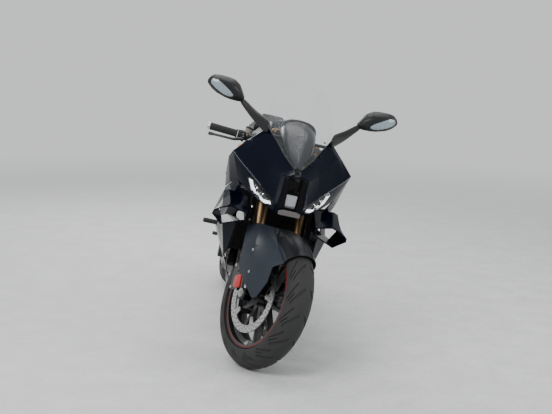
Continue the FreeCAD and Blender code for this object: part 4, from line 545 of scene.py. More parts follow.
def tread_tyre(centre, radius, crown, bead, depth, sweep):
    """A sport tyre: swept grooves cut in a round crown, a ribbed shoulder and a plain bead."""
    ring = radius - crown
    side_r = max(FLANGE_TOP + 10.0, ring - 0.15 * crown)
    widest = acos((side_r - ring) / crown)
    phases = sorted({round(v, 4) for _, s, w, _, _ in GROOVES for v in (s - 0.02, s, s + w, s + w + 0.02)}
                    | {0.02, 0.27, 0.47, 0.74, 0.96})
    shares = sorted({round(v, 4) for *_, a, b in GROOVES for v in (a, a + 0.03, b - 0.03, b)}
                    | {0.0, 0.05, 0.18, 0.26, 0.34, 0.5, 0.72, 0.94, 1.0})
    line = [(-1, u) for u in reversed(shares[1:])] + [(1, u) for u in shares]
    liner = crown - 9
    walls = [(crown * sin(widest) * 0.985 + 0.3, side_r - 2.5), (bead + 4.5, FLANGE_TOP + 7),
             (bead + 4.0, FLANGE_TOP + 4), (bead - 0.3, FLANGE_TOP + 2), (bead - 0.3, BEAD_SEAT + 0.3),
             (bead - 9.3, BEAD_SEAT + 0.3), (bead - 2.0, FLANGE_TOP + 10)]
    inside = [(v * liner * sin(widest * 0.75), ring + liner * cos(widest * 0.75 * abs(v)))
              for v in (1, 0, -1)]

    def sunk(side, phase, u):
        for which, s, w, a, b in GROOVES:
            if which in (0, side) and s - 1e-4 <= phase <= s + w + 1e-4 and a + 0.02 <= u <= b - 0.02:
                return depth
        return 0.0
    rings = []
    for i in range(TREAD_REPEATS):
        for phase in phases:
            section = []
            for side, u in line:
                a, r = side * u * widest, crown - sunk(side, phase, u) + (0.6 if u > 0.92 else 0.0)
                section.append((r * sin(a), ring + r * cos(a), sweep * u ** 1.5))
            section += [(x, r, sweep) for x, r in walls + inside] + [(-x, r, sweep) for x, r in reversed(walls)]
            rings.append([polar(centre, x, r, 2 * pi * (i + phase + turn) / TREAD_REPEATS)
                          for x, r, turn in section])
    return rows(rings, wrap=True)


def drilled_ring(centre, x, thick, inner, outer, tiers, cells, hole):
    """A brake ring, cross-drilled in every second cell; each cell's border has twelve points."""
    border = [(i / 3, 0) for i in range(3)] + [(1, i / 3) for i in range(3)]
    border += [(1 - u, 1 - v) for u, v in border]
    step, turn = (outer - inner) / tiers, 2 * pi / cells
    parts = []
    for k in range(tiers):
        for i in range(cells):
            a0, r0 = turn * i, inner + step * k
            ends = [[polar(centre, x + d, r0 + v * step, a0 + u * turn) for u, v in border] for d in (0, thick)]
            if (i + k) % 2:
                parts.append((ends[0] + ends[1], [tuple(range(12)), tuple(range(23, 11, -1))]))
                continue
            a, r = a0 + turn / 2, r0 + step / 2
            out = polar(Vector(), 0, 1, a)
            along = LEFT.cross(out)
            holes = [[polar(centre, x + d, r, a) + (along * (u - 0.5) + out * (v - 0.5)).normalized() * hole
                      for u, v in border] for d in (0, thick)]
            parts.append(rows([ends[0], *holes, ends[1]], caps=False))
    n = cells * 3
    for r in (inner, outer):
        parts.append(rows([[polar(centre, x + d, r, 2 * pi * i / n) for i in range(n)] for d in (0, thick)],
                          caps=False))
    return join(parts)


def wheels():
    for which, centre, radius, crown, bead, depth, sweep in WHEELS:
        body = which + "_wheel"
        tyre = tread_tyre(centre, radius, crown, bead, depth, sweep)
        piece(which + "_tyre_tread", tyre, "tyre_rubber", body, 40, replaces=(which + "_tyre",))
        stripe = corners(bead + FLANGE - 0.4, STRIPE_LOW, bead + FLANGE + 0.45, STRIPE_HIGH)
        stripes = [lathe(centre, LEFT * s, stripe, 160, wrap=True) for s in SIDES]
        piece(which + "_rim_stripe", stripes, "stripe_red", body)
        valve_at = wheel_point(centre, 0, VALVE_RADIUS, VALVE_ANGLE)
        way = valve_at - centre
        piece(which + "_valve", lathe(valve_at, -way, VALVE, 16), "metal_steel", body)
        weight = [wheel_point(centre, x, WEIGHT_RADIUS, a) for x, a in WEIGHT]
        piece(which + "_balance", slab(weight, 2, way, 3), "metal_steel", body, bevel=0.4)
    for which, centre, half, radius, bearing in HUBS:
        seal = [(0, bearing), (0, radius - 3), (1.5, radius - 1), (1.5, radius * 0.78), (0.4, radius * 0.74),
                (0.4, bearing + 3), (2.6, bearing + 2), (2.6, bearing)]
        piece(which + "_hub_seals", [lathe(centre + V(s * half, 0, 0), LEFT * s, seal, 48, wrap=True)
                                     for s in SIDES], "frame_black", which + "_wheel")


# Discs: thickness, distance from the wheel's own middle, and the angles of the five lugs or arms
DISC_THICK, FRONT_DISC_X, REAR_DISC_X = 5.0, 66.0, -84.0
# Drilled rings: inner and outer radius, tiers, cells round the ring, hole radius
FRONT_RING, REAR_RING = (127, 160, 3, 60, 3.7), (82, 110, 2, 46, 3.6)
LUG_ANGLES = [90 + 72 * i for i in range(5)]
# The red block on the fork's foot, as distance along the leg and back from it
RED_BLOCK = [(29, 33), (78, 31), (85, 40), (82, 80), (40, 88), (28, 78)]


def front_brakes():
    thick = DISC_THICK
    rings, lugs, screws = [], [], []
    for side in SIDES:
        low = side * FRONT_DISC_X - thick / 2
        rings.append(drilled_ring(FRONT, low, thick, *FRONT_RING))
        for angle in LUG_ANGLES:
            base, out = FRONT + V(low, 0, 0), wheel_point(Vector(), 0, 1, angle)
            along = LEFT.cross(out)
            arc = [base + out * 104 - (out * cos(b) + along * sin(b)) * 11
                   for b in [pi * k / 8 - pi / 2 for k in range(9)]]
            flare = [(131, 20), (124, 15), (116, 12)]
            outline = [base + out * r + along * w for r, w in flare] + arc
            outline += [base + out * r - along * w for r, w in flare[::-1]]
            lugs.append(plate(outline, LEFT, thick))
            face = side * (FRONT_DISC_X + thick / 2)
            screws.append(bolt(wheel_point(FRONT, face, 104, angle), LEFT * side, 6.0))
            lugs += [collar(wheel_point(FRONT, low - 0.8, 128, angle + off), LEFT, 2.5, 5.2, thick + 1.6, 20)
                     for off in (-5.58, 5.58)]
    rings = piece("front_disc_rings", rings, "disc_steel", "front_wheel", replaces=("front_discs",))
    piece("front_disc_lugs", lugs, "disc_steel", "front_wheel", bevel=0.5, replaces=("front_discs",))
    piece("front_disc_screws", screws, "metal_steel", "front_wheel")

    blocks, black, steel = [], [], []
    for side in SIDES:
        way = LEFT * side
        blocks.append(slab([on_fork(t, b, side * 110) for t, b in RED_BLOCK], 7, way, 15))
        black.append(lathe(on_fork(112, 84, side * 113), way,
                           [(0, 13), (2.5, 13), (4, 11.5), (4, 8), (3, 7), (3, 2)], 32))
        for t, b in ((26, 70), (132, 72), (134, 104), (36, 118)):
            steel.append(bolt(on_fork(t, b, side * 113.6), way, 5.0))
        for at, way, profile, steps in (
                ((52, 62, 88), -BACK, [(-4, 7), (0, 7), (0, 5, 6), (7, 5, 6)], 24),
                ((106, 62, 88), -BACK, [(-4, 7), (0, 7), (0, 5, 6), (7, 5, 6)], 24),
                ((141, 84, 100), UP, [(0, 5, 6), (6, 5, 6), (6, 2.6), (11, 2.6), (12, 3.4), (15, 3.0)], 18),
                ((139, 100, 96), UP, [(-4, 8), (1, 8), (1, 6, 6), (9, 6, 6)], 24)):
            steel.append(lathe(on_fork(at[0], at[1], side * at[2]), way, profile, steps))
    piece("front_caliper_blocks", blocks, "caliper_red", "fork", bevel=1.6)
    piece("front_caliper_caps", black, "caliper_black", "fork")
    piece("front_caliper_screws", steel, "metal_steel", "fork")


def rear_brake():
    low, thick = REAR_DISC_X - DISC_THICK / 2, DISC_THICK
    ring = drilled_ring(REAR, low, thick, *REAR_RING)
    arm = ((86, 12), (62, 13), (44, 26), (44, -26), (62, -13), (86, -12))
    arms = [plate([wheel_point(REAR, low, r, angle + w) for r, w in arm], LEFT, thick) for angle in LUG_ANGLES]
    hub = collar(REAR + V(low, 0, 0), LEFT, 40, 50, thick, 48)
    screws = [bolt(wheel_point(REAR, low, 45.5, angle), RIGHT, 4.0) for angle in LUG_ANGLES]
    piece("rear_disc_ring", ring, "disc_steel", "rear_wheel", replaces=("rear_disc",))
    piece("rear_disc_carrier", arms + [hub], "disc_steel", "rear_wheel", bevel=0.5, replaces=("rear_disc",))
    piece("rear_disc_screws", screws, "metal_steel", "rear_wheel")
    caps = [lathe(REAR + V(-117, -76, 78), RIGHT, [(0, 17), (3, 17), (5, 15), (5, 9), (4, 8), (4, 2)], 32)]
    caps += [bolt(REAR + V(-117, y, z), RIGHT, 4.5) for y, z in ((-106, 60), (-50, 96))]
    piece("rear_caliper_caps", caps, "caliper_black")


# Chain: its plane and pitch, the pitch radii of 45 and 17 teeth, and the countershaft
CHAIN_X, PITCH, SMALL_TEETH = 107.0, 15.875, 17
BIG = PITCH / (2 * sin(pi / 45))
SMALL = PITCH / (2 * sin(pi / SMALL_TEETH))
SHAFT = V(0, 80, 420)


def chain_path():
    """Points one pitch apart round both sprockets, as (y, z)."""
    gap = REAR - SHAFT
    lie, tilt = atan2(gap.z, gap.y), asin((BIG - SMALL) / hypot(gap.y, gap.z))
    up, down = lie + pi / 2 + tilt, lie - pi / 2 - tilt
    path = []
    for centre, radius, start, sweep, n in ((REAR, BIG, down, up - down, 199),
                                            (SHAFT, SMALL, up, 2 * pi - (up - down), 99)):
        path += [(centre.y + radius * cos(a), centre.z + radius * sin(a))
                 for a in [start + sweep * k / n for k in range(n + 1)]]
    path.append(path[0])
    length = sum(dist(p, q) for p, q in zip(path, path[1:]))
    return resample(path, 2 * round(length / PITCH / 2))[:-1]


def chain():
    path = chain_path()
    plates, pins = [], []
    for i, (p, q) in enumerate(zip(path, path[1:] + path[:1])):
        a, b = V(0, *p), V(0, *q)
        along = (b - a).normalized()
        over = LEFT.cross(along)
        outline = []
        for end, sign in ((b, 1), (a, -1)):
            for t in [pi * k / 6 - pi / 2 for k in range(7)]:
                outline.append(end + along * (sign * 6.9 * cos(t)) + over * (sign * 6.9 * sin(t)))
            outline.append((a + b) / 2 + over * (sign * 4.9))
        for x in ((7.6, -9.0) if i % 2 else (5.6, -7.4)):
            plates.append(plate([p + V(CHAIN_X + x, 0, 0) for p in outline], LEFT, 1.6))
        pins.append(lathe(a + V(CHAIN_X - 9.6, 0, 0), LEFT, [(0, 2.6), (3.4, 2.6), (3.4, 5.0), (15.8, 5.0),
                                                             (15.8, 2.6), (19.2, 2.6)], 10))
    piece("chain_links", plates, "chain_steel", split=50, replaces=("drive_chain",))
    piece("chain_rollers", pins, "metal_steel", split=50, replaces=("drive_chain",))
    tooth = ((0.0, SMALL - 7.5), (0.25, SMALL - 6.5), (0.4, SMALL + 2), (0.6, SMALL + 2), (0.75, SMALL - 6.5))
    teeth = [polar(SHAFT, CHAIN_X - 2.75, r, 2 * pi * (i + part) / SMALL_TEETH)
             for i in range(SMALL_TEETH) for part, r in tooth]
    front = [plate(teeth, LEFT, 5.5), hex_nut(SHAFT + V(CHAIN_X + 2.7, 0, 0), LEFT, 15, 8)]
    piece("front_sprocket_teeth", front, "metal_steel", replaces=("drive_chain",))
    nuts = [hex_nut(wheel_point(REAR, CHAIN_X + 2.75, 50, angle - 54), LEFT, 7.5, 6) for angle in LUG_ANGLES]
    piece("rear_sprocket_nuts", nuts, "metal_steel", "rear_wheel")


# The nose: the same half outline as the panels'. columns: y, then x z of top edge, shoulder, crease, lower edge
NOSE = [
    (-905, 10, 868, 44, 858, 52, 742, 46, 704),
    (-852, 14, 890, 62, 856, 66, 748, 58, 708),
    (-780, 64, 935, 102, 880, 124, 786, 102, 712),
    (-720, 94, 972, 148, 908, 178, 824, 150, 732),
    (-662, 128, 1006, 186, 950, 232, 862, 192, 758),
    (-629, 140, 1016, 205, 950, 262, 888, 213, 770),
    (-540, 150, 1000, 222, 925, 268, 850, 238, 735),
    (-400, 150, 920, 215, 850, 256, 770, 244, 690),
]
NOSE_TIP, NOSE_WIDEST = -905.0, -629.0


def nose_at(y):
    columns = between(NOSE, min(max(y, NOSE[0][0]), NOSE[-1][0]))
    return list(zip(columns[0::2], columns[1::2]))


def nose_y(x, z):
    """How far back the nose's skin lies at a point of the front view."""
    low, high = NOSE_TIP, NOSE_WIDEST
    for _ in range(24):
        y = (low + high) / 2
        chain = nose_at(y)
        half = [(0, chain[0][1])] + chain + [(0, chain[-1][1])]
        inside = False
        for (x1, z1), (x2, z2) in zip(half, half[1:] + half[:1]):
            if (z1 > z) != (z2 > z) and x < x1 + (z - z1) * (x2 - x1) / (z2 - z1):
                inside = not inside
        low, high = (low, y) if inside else (y, high)
    return (low + high) / 2


def band_on_nose(outer, inner, deep, thick, n=36, across=3):
    """A strip between two paths of the front view, set in from the nose's skin along the bike."""
    a, b = resample(outer, n), resample(inner, n)
    rings = []
    for k in range(across + 1):
        line = [(x, nose_y(x, z), z) for x, z in [blend(p, q, k / across) for p, q in zip(a, b)]]
        rings.append([V(x, y + deep, z) for x, y, z in line]
                     + [V(x, y + deep + thick, z) for x, y, z in reversed(line)])
    return rows(rings)


# Headlamp: paths of the front view in the left half, outer and inner edge of each band
STRIP = ([(176, 797), (159, 761), (126.5, 732), (98, 719.5), (74, 727)],
         [(162, 795), (149, 767), (121, 743), (98, 733.5), (80, 738)])
BROW = ([(71, 744), (120, 777), (168, 808), (175, 798)], [(76, 741), (122, 772), (167, 801.5), (170, 797)])
BOWL = ([(74, 742), (120, 772), (164, 799)], [(80, 728), (121, 736), (158, 765)])
PROJECTORS = ((101, 748, 11.0), (128, 762, 11.5), (152, 783, 9.0))
SPOT_X, SPOT_Z, SPOT_WAY = 150.0, 737.0, V(0.45, -0.8, -0.4).normalized()


def headlamps():
    """A white L-shaped daylight strip along the lower edge, projectors and a dark bowl behind the lens."""
    piece("lamp_strips", pair(band_on_nose(*STRIP, -0.9, 3.0)), "lamp_white", split=50)
    piece("lamp_brows", pair(band_on_nose(*BROW, -0.7, 2.0)), "paint_black", split=50)
    piece("lamp_bowls", pair(band_on_nose(*BOWL, 19, 3, 24, 6)), "plastic_matt", split=50)
    eyes, rings = [], []
    for x, z, r in PROJECTORS:
        at = V(x, nose_y(x, z) + 17, z)
        rings.append(lathe(at, AHEAD, [(0, r + 3), (9, r + 3), (10, r + 1.5), (8, r), (0, r)], 32, wrap=True))
        dome = [(4 + 5 * sin(a), r * cos(a)) for a in (0.3, 0.6, 0.9, 1.2, 1.5)]
        eyes.append(lathe(at, AHEAD, [(0, r), (4, r)] + dome, 32))
    piece("lamp_bezels", pair(rings), "fork_chrome")
    piece("lamp_projectors", pair(eyes), "lens_dark")
    at = V(SPOT_X, nose_y(SPOT_X, SPOT_Z), SPOT_Z)
    cup = lathe(at - SPOT_WAY * 5, SPOT_WAY, [(0, 9.5), (5.5, 9.5), (6.5, 8.5), (5, 7), (0, 7)], 28, wrap=True)
    piece("lamp_spot_cups", pair(cup), "plastic_matt")
    spot = lathe(at - SPOT_WAY * 4, SPOT_WAY, [(0, 7), (6, 6.8), (8, 5.2), (9, 3), (9.3, 0.6)], 24)
    piece("lamp_spots", pair(spot), "lamp_white")


# Mirror heads. columns: x, y of the front, z low, z high. Arms: middle, half height as x z, half thickness
MIRROR_BACK = -482.0
MIRROR_HEAD = [(256, -504, 1092, 1112), (270, -516, 1088, 1136), (286, -526, 1087, 1160), (312, -533, 1088, 1177),
               (340, -536, 1092, 1182), (380, -534, 1104, 1183), (404, -527, 1117, 1179), (420, -516, 1131, 1168),
               (427, -506, 1138, 1158)]
MIRROR_ARM = [((134, -662, 1016), (2, 30), 24), ((154, -638, 1026), (-8, 27), 21),
              ((206, -566, 1052), (-10, 17), 13), ((242, -526, 1080), (-8, 13), 10),
              ((270, -503, 1100), (-7, 11), 9)]
# Edges of the lens, whose pale blue-grey is a painted reflection, and of the glass's bezel, as x z
LENS_TOP = [(415, 1152), (408, 1162), (388, 1163), (366, 1151), (344, 1138), (322, 1124), (309, 1112)]
LENS_FOOT = [(412, 1140), (400, 1131), (386, 1122), (368, 1113), (346, 1104), (326, 1101), (311, 1103)]
BEZEL = [(290, 1097), (294, 1150), (348, 1173), (396, 1173), (414, 1146), (400, 1122), (350, 1102)]
BEZEL_IN = [(296, 1104), (299, 1146), (350, 1167), (393, 1167), (407, 1146), (396, 1128), (350, 1109)]


def head_front(x, z):
    """The front face of a mirror head: bevelled above and below a flatter middle."""
    y, low, high = between(MIRROR_HEAD, x)
    up = (z - (low + high) / 2) / ((high - low) / 2)
    edge = max(0.0, abs(up + 0.1) - 0.35) / 0.75
    return y + (MIRROR_BACK - y) * 0.62 * min(1.0, edge) ** 1.6


def mirrors():
    heads, arms = [], []
    for x, _, low, high in MIRROR_HEAD:
        height = high - low
        front = [low + height * k / 10 for k in range(11)]
        heads.append([V(x, head_front(x, z), z) for z in front]
                     + [V(x, MIRROR_BACK, z) for z in (high - height * 0.03, low + height * 0.03)])
    for middle, (x, z), thick in MIRROR_ARM:
        arms.append([V(*middle) + V(x, 0, z) * sin(a) + V(0, thick, 0) * (cos(a) * abs(cos(a)) ** 0.3)
                     for a in [2 * pi * k / 12 for k in range(12)]])
    piece("mirror_heads", pair(rows(heads)), "plastic_satin", split=28, bevel=1.5, replaces=("mirrors",))
    piece("mirror_arms", pair(rows(arms)), "plastic_satin", soften=2, replaces=("mirrors",))
    lines = [resample([blend(p, q, k / 4) for p, q in zip(LENS_TOP, LENS_FOOT)], 20) for k in range(5)]
    lens = [[V(x, head_front(x, z) - 2.2, z) for x, z in line]
            + [V(x, head_front(x, z) + 1.5, z) for x, z in reversed(line)] for line in lines]
    # The lenses' pale blue-grey colour is a painted reflection on clear plastic
    piece("mirror_lenses", pair(rows(lens)), "lens_painted_reflection", split=50)
    outer, inner = [round_off([V(x, MIRROR_BACK + 2.6, z) for x, z in edge], radius)
                    for edge, radius in ((BEZEL, 8), (BEZEL_IN, 7))]
    piece("mirror_bezels", pair(hoop(outer, inner, AHEAD * 5)), "plastic_matt")
    return [bolt(V(x, y, z), (0.35, 0.3, 0.88), 4.0) for x, y, z in ((112, -640, 1006), (118, -612, 1002))]


def screen_trim():
    """A rubber bead along the screen's foot, with its fasteners."""
    bead = []
    for y in [-846 + 217 * k / 16 for k in range(17)]:
        x, z = nose_at(y)[0]
        bead.append(V(x, y, z + 1.2))
    piece("screen_beads", pair(tube(bead, 2.2, 8)), "grip_rubber", split=60)
    screws = []
    for y in (-800, -735, -672):
        (x, z), (x2, z2) = nose_at(y)[:2]
        at = V(x + (x2 - x) * 0.16, y, z + (z2 - z) * 0.16)
        screws.append(bolt(at, (z - z2, 0, x2 - x), 4.2, 2.4))
    return screws


# Clip-ons: sweep and droop of the bar, where it leaves the fork, how far out it ends, and the grip's length
BAR_SWEEP, BAR_DROOP = radians(28), radians(7)
BAR_UP, FORK_X, BAR_END_X, GRIP = 678, 105, 360, 122
# Brake hoses: points as distance along the fork, back from it and sideways
HOSE_RIGHT = [(610, -34, -148), (520, -6, -154), (430, 30, -146), (330, 36, -138), (230, 52, -124),
              (165, 92, -104), (147, 100, -96)]
HOSE_LEFT = [(500, 22, -152), (470, 70, -110), (452, 92, 0), (470, 70, 110), (420, 34, 150), (330, 36, 140),
             (230, 52, 124), (165, 92, 104), (147, 100, 96)]


def handlebars():
    """Clip-ons with ribbed grips, switch blocks, levers, the brake's fluid cup and the hoses."""
    way = V(cos(BAR_SWEEP) * cos(BAR_DROOP), sin(BAR_SWEEP) * cos(BAR_DROOP), -sin(BAR_DROOP))
    centre = on_fork(BAR_UP, 0, FORK_X)
    end = centre + way * ((BAR_END_X - FORK_X) / way.x)
    ahead = TOP.cross(way).normalized()
    ahead *= -copysign(1, ahead.y)
    grip_in = end - way * GRIP
    ribs = [(0, 20), (3, 20.4), (5, 20), (5.5, 17)]
    for k in range(27):
        ribs += [(8 + k * 4, 17.0), (9.2 + k * 4, 15.7), (10.8 + k * 4, 15.7), (12 + k * 4, 17.0)]
    ribs += [(119, 17.2), (121, 16.6), (GRIP, 12)]
    piece("grips", pair(lathe(grip_in, way, ribs, 40)), "grip_rubber", "fork", 50, replaces=("handlebars",))
    bar = lathe(centre + way * 29, way, [(0, 11), (130, 11)], 28)
    ring = lathe(on_fork(655, 0, FORK_X), UP, [(0, 27.2), (0, 34), (2, 36), (33, 36), (35, 34), (35, 27.2)], 56,
                 wrap=True)
    lug = slab([on_fork(t, b, 84) for t, b in corners(659, 26, 686, 50)], 4, LEFT, 26)
    piece("clip_ons", pair([bar, ring, lug]), "frame_black", "fork", bevel=0.5, replaces=("handlebars",))
    weight = lathe(end, way, [(0, 14), (1, 15.5), (8, 15.5), (11, 13.5), (12, 10), (12, 5, 6), (6, 5, 6)], 40)
    clamp_screw = bolt(on_fork(672.5, 44, 110), LEFT, 4.2)
    piece("bar_weights", pair([weight, clamp_screw]), "metal_steel", "fork", replaces=("handlebars",))
    block = lathe(grip_in - way * 44, way, [(0, 16), (1.5, 19), (14, 21.4), (30, 21.4), (40, 20), (42, 17)], 36)
    pod = slab([grip_in - way * a - ahead * 12 + TOP * b for a, b in corners(42, -14, 8, 18)], 6, -ahead, 14)
    piece("switch_blocks", pair([block, pod]), "plastic_matt", "fork", bevel=1.2, replaces=("handlebars",))
    buttons = [lathe(grip_in - way * a - ahead * 26 + TOP * b, -ahead, [(0, r), (2, r), (2.6, r - 0.8)], 20)
               for a, b, r in ((16, 10, 3.6), (26, -3, 4.4), (35, 10, 3.0))]
    piece("switch_buttons", pair(buttons), "plastic_satin", "fork")
    perch = grip_in - way * 30
    pivot = perch + ahead * 42 - TOP * 14
    clamp = collar(perch - way * 12, way, 12, 19, 24, 36)
    arm = tube(curve([perch + ahead * 14, perch + ahead * 30 + way * 2, pivot]),
               [11, 11, 10.5, 10.5, 10, 10] + [9.5] * 10 + [9], 16)
    cylinder = tube([perch + ahead * 26 - way * 24, perch + ahead * 30 + way * 12], 8.5, 20)
    piece("lever_perches", pair([clamp, arm, cylinder]), "frame_black", "fork", replaces=("handlebars",))
    knee, tip = pivot + way * 40 + ahead * 20 - TOP * 10, pivot + way * 142 + ahead * 10 - TOP * 15
    line = curve([pivot, pivot + way * 18 + ahead * 12 - TOP * 4, knee, knee + (tip - knee) * 0.45 + ahead * 1.5,
                  tip])
    radii = [7.4 - 1.6 * min(1, i / 20) for i in range(len(line) - 3)] + [6.6, 7.6, 7.8]
    ball = lathe(tip, way, [(8.2 * sin(a), 8.2 * cos(a)) for a in (-1.4, -1, -0.5, 0, 0.5, 1, 1.4)], 20)
    pin = lathe(pivot - TOP * 12, TOP, [(0, 5), (22, 5), (22, 7.5), (25, 7)], 20)
    piece("levers", pair([tube(line, radii, 14), ball, pin]), "lever_alloy", "fork", 60, replaces=("handlebars",))
    # From here on the bike's right side only
    perch, way, ahead = across(perch), across(way), across(ahead)
    foot = perch + ahead * 30 - way * 12
    cup_at = foot + TOP * 16
    cup = lathe(cup_at, TOP, [(0, 15), (1, 17), (20, 18), (21, 18)], 32)
    piece("fluid_cup", [cup, lathe(foot, TOP, [(0, 5), (17, 5)], 16)], "cup_smoke", "fork")
    lid = [(0, 19), (5, 19), (6, 18), (6, 6), (7.5, 5), (7.5, 2)]
    piece("fluid_cup_lid", lathe(cup_at + TOP * 21, TOP, lid, 32), "plastic_matt", "fork")
    start = perch + ahead * 30 - way * 24
    starts = [start, start - way * 24 + ahead * 4 - TOP * 8]
    hoses = [tube(curve(first + [on_fork(*at) for at in points], 7), 3.4)
             for first, points in ((starts, HOSE_RIGHT), ([], HOSE_LEFT))]
    piece("brake_hoses", hoses, "plastic_matt", "fork", 60)
    clips = [collar(on_fork(t, 31, s * 137), UP, 3.5, 6, 8, 16) for t in (320, 380) for s in SIDES]
    piece("hose_clips", clips, "metal_steel", "fork")


def fork_details():
    steel, black, gold = [], [], []
    for s in SIDES:
        side = LEFT * s
        steel += [bolt(on_fork(t, -42, s * 136.9), side, 4.4) for t in (184, 88)]
        black.append(lathe(on_fork(296, 0, s * FORK_X), UP, [(0, 22.6), (0, 26), (3, 27.6), (9, 27.6), (12, 27.1),
                                                             (12, 22.6)], 48, wrap=True))
        gold.append(lathe(on_fork(735, 0, s * FORK_X), UP, [(0, 25), (4, 25), (5, 24), (8, 22.2), (8, 14, 6),
                                                            (15, 14, 6), (15, 7), (18, 6.5), (18, 2)], 36))
        steel += [bolt(on_fork(t, -27, s * 112), -BACK, 4.6) for t in (24, 38)]
        steel += [bolt(on_fork(t, b, s * x), side, 4.6)
                  for t, b, x in ((512, 24, 146), (532, 24, 146), (711, 22, 142))]
    steel.append(lathe(on_fork(722, 28.65), UP, [(0, 30), (2, 30), (2, 24, 6), (15, 24, 6), (15, 14), (17, 12),
                                                 (12, 9)], 36))
    lock = [(0, 24), (12, 24), (14, 22), (14, 12), (16, 10), (13, 7), (13, 2)]
    black.append(lathe(on_fork(716, -14), UP, lock, 36))
    piece("fork_screws", steel, "metal_steel", "fork")
    piece("fork_seals", black, "plastic_matt", "fork")
    piece("fork_caps", gold, "fork_gold", "fork")
    ends = [hex_nut(FRONT + V(134, 0, 0), LEFT, 15, 5), hex_nut(FRONT + V(-133, 0, 0), RIGHT, 12, 4)]
    piece("front_axle_ends", ends, "metal_steel", "fork")


# The dark hood from the dash to the screen's foot. columns: y, half width, z of its edge, z of its crown
HOOD = [(-842, 8, 891, 894), (-812, 24, 908, 922), (-780, 42, 926, 948), (-720, 60, 957, 991),
        (-662, 72, 984, 1026), (-600, 78, 1002, 1049), (-556, 79, 1010, 1062)]
# The dash: lower and upper end of its face, outlines of the body and of the bezel's inside, and the stay's bar
DASH_LOW, DASH_HIGH = V(0, -560, 990), V(0, -522, 1078)
DASH = [(-78, 0), (78, 0), (80, 36), (71, 60), (44, 76), (0, 81), (-44, 76), (-71, 60), (-80, 36)]
DASH_INNER = [(-64, 8), (64, 8), (65, 36), (62, 58), (40, 64), (0, 66), (-40, 64), (-62, 58), (-65, 36)]
STAY_Y = -600.0


def cockpit():
    """The dash on its stay, its display and keys, and the domed hood ahead of it."""
    up = (DASH_HIGH - DASH_LOW).normalized()
    out = V(0, up.z, -up.y)

    def at(x, t, lift=0.0):
        return DASH_LOW + up * t + out * lift + V(x, 0, 0)
    rings = []
    for y, w, edge, crown in HOOD:
        upper, lower = [[V((w - drop * 0.7) * sin(a), y, edge + (crown - drop - edge) * cos(a) ** 0.8)
                         for a in [k * pi / 18 for k in range(-9, 10)]] for drop in (0, 3)]
        rings.append(upper + lower[::-1])
    piece("dash_hood", rows(rings), "hood_grey", split=50, replaces=("instrument_panel",))
    body = slab([at(x, t) for x, t in DASH], 14, -out, 20)
    piece("dash_body", body, "plastic_satin", bevel=3, replaces=("instrument_panel",))
    glass = slab([at(x, t, 0.2) for x, t in corners(-62, 10, 62, 60)], 6, out, 2.0)
    piece("display_glass", glass, "display_dark", bevel=0.5)
    outer = round_off([at(x * 0.96, 2 + t * 0.95, 0.1) for x, t in DASH], 12)
    inner = round_off([at(x, t, 0.1) for x, t in DASH_INNER], 7)
    piece("display_bezel", hoop(outer, inner, out * 4), "plastic_satin", bevel=0.8)
    keys = [lathe(at(x, 5.4, 3.8), out, [(0, 2.2), (1.6, 2.2), (2.2, 1.4)], 18) for x in (-40, -14, 14, 40)]
    piece("display_keys", keys, "plastic_matt")
    start = on_fork(620, 28.65)
    tip = start - BACK * 152
    beam = [start - BACK * 30 - UP * 14, start - BACK * 30 + UP * 14, tip + UP * 12, tip - UP * 12]
    riser = [(tip.y + 22, tip.z - 8), (tip.y - 4, tip.z - 8), (-606, 1000), (-576, 1030), (-556, 998)]
    stay = [plate([p + RIGHT * 24 for p in side], LEFT, 48) for side in (beam, [V(0, y, z) for y, z in riser])]
    piece("dash_stay", stay, "frame_black", bevel=2, replaces=("instrument_panel",))
    x, z = nose_at(STAY_Y)[0]
    piece("dash_bar", tube([V(s * (x - 6), STAY_Y, z - 26) for s in SIDES], 7, 16), "frame_black",
          replaces=("instrument_panel",))
    # A thin bead on each fairing crease, paler than the paint: a painted highlight along the crease's edge
    crease = []
    for y in [-778 + k * 12.2 for k in range(13)]:
        x, z = nose_at(y)[2]
        crease.append(V(x + 0.3, y, z))
    piece("fairing_crease_highlights", pair(tube(crease, 1.7)), "crease_painted_highlight", split=60)


def intake():
    """A fine mesh deep in the air duct, the grey lip below it and the light plate ahead of it."""
    bars = [tube([V(-25, -838, z), V(25, -838, z)], 0.8, 6) for z in [800 + k * 6.6 for k in range(9)]]
    bars += [tube([V(x, -838, 797), V(x, -838, 857)], 0.8, 6) for x in range(-21, 22, 6)]
    piece("intake_mesh", bars, "frame_black", split=60)
    lip = ((-47.5, 720), (-45, 704.2), (45, 704.2), (47.5, 720), (29, 727), (-29, 727))
    piece("nose_lip", slab([V(x, -905.4, z) for x, z in lip], 3, AHEAD, 2.2), "lip_grey", bevel=0.8)
    outline = round_off([V(x, -870.2, z) for x, z in ((-24, 788), (24, 788), (21.5, 733), (-21.5, 733))], 5)
    face = [V(p.x, -870.5 - (788 - p.z) * 0.02, p.z) for p in outline]
    piece("intake_plate", plate(face, AHEAD, 2.5), "plate_silver", bevel=0.8)


def vent_slats():
    slats = []
    for t in (0, 0.5, 1):
        line = [V(x, y + dy * t, z + dz * t) for x, y, z, dy, dz in
                ((226, -405, 524, 8, 22), (229, -330, 530, 6, 26), (228, -272, 535, -6, 22))]
        slats.append(plate(line + [p + V(-26, 6, -9) for p in reversed(line)], TOP, 2.0))
    piece("vent_slats", pair(slats), "plastic_matt", bevel=0.4)


# Radiator core: foot and top of its front face, half width, count of tubes, folds in a fin
CORE_LOW, CORE_HIGH, CORE_HALF = V(0, -372, 420), V(0, -398, 700), 154
CORE_TUBES, FIN_FOLDS = 30, 110


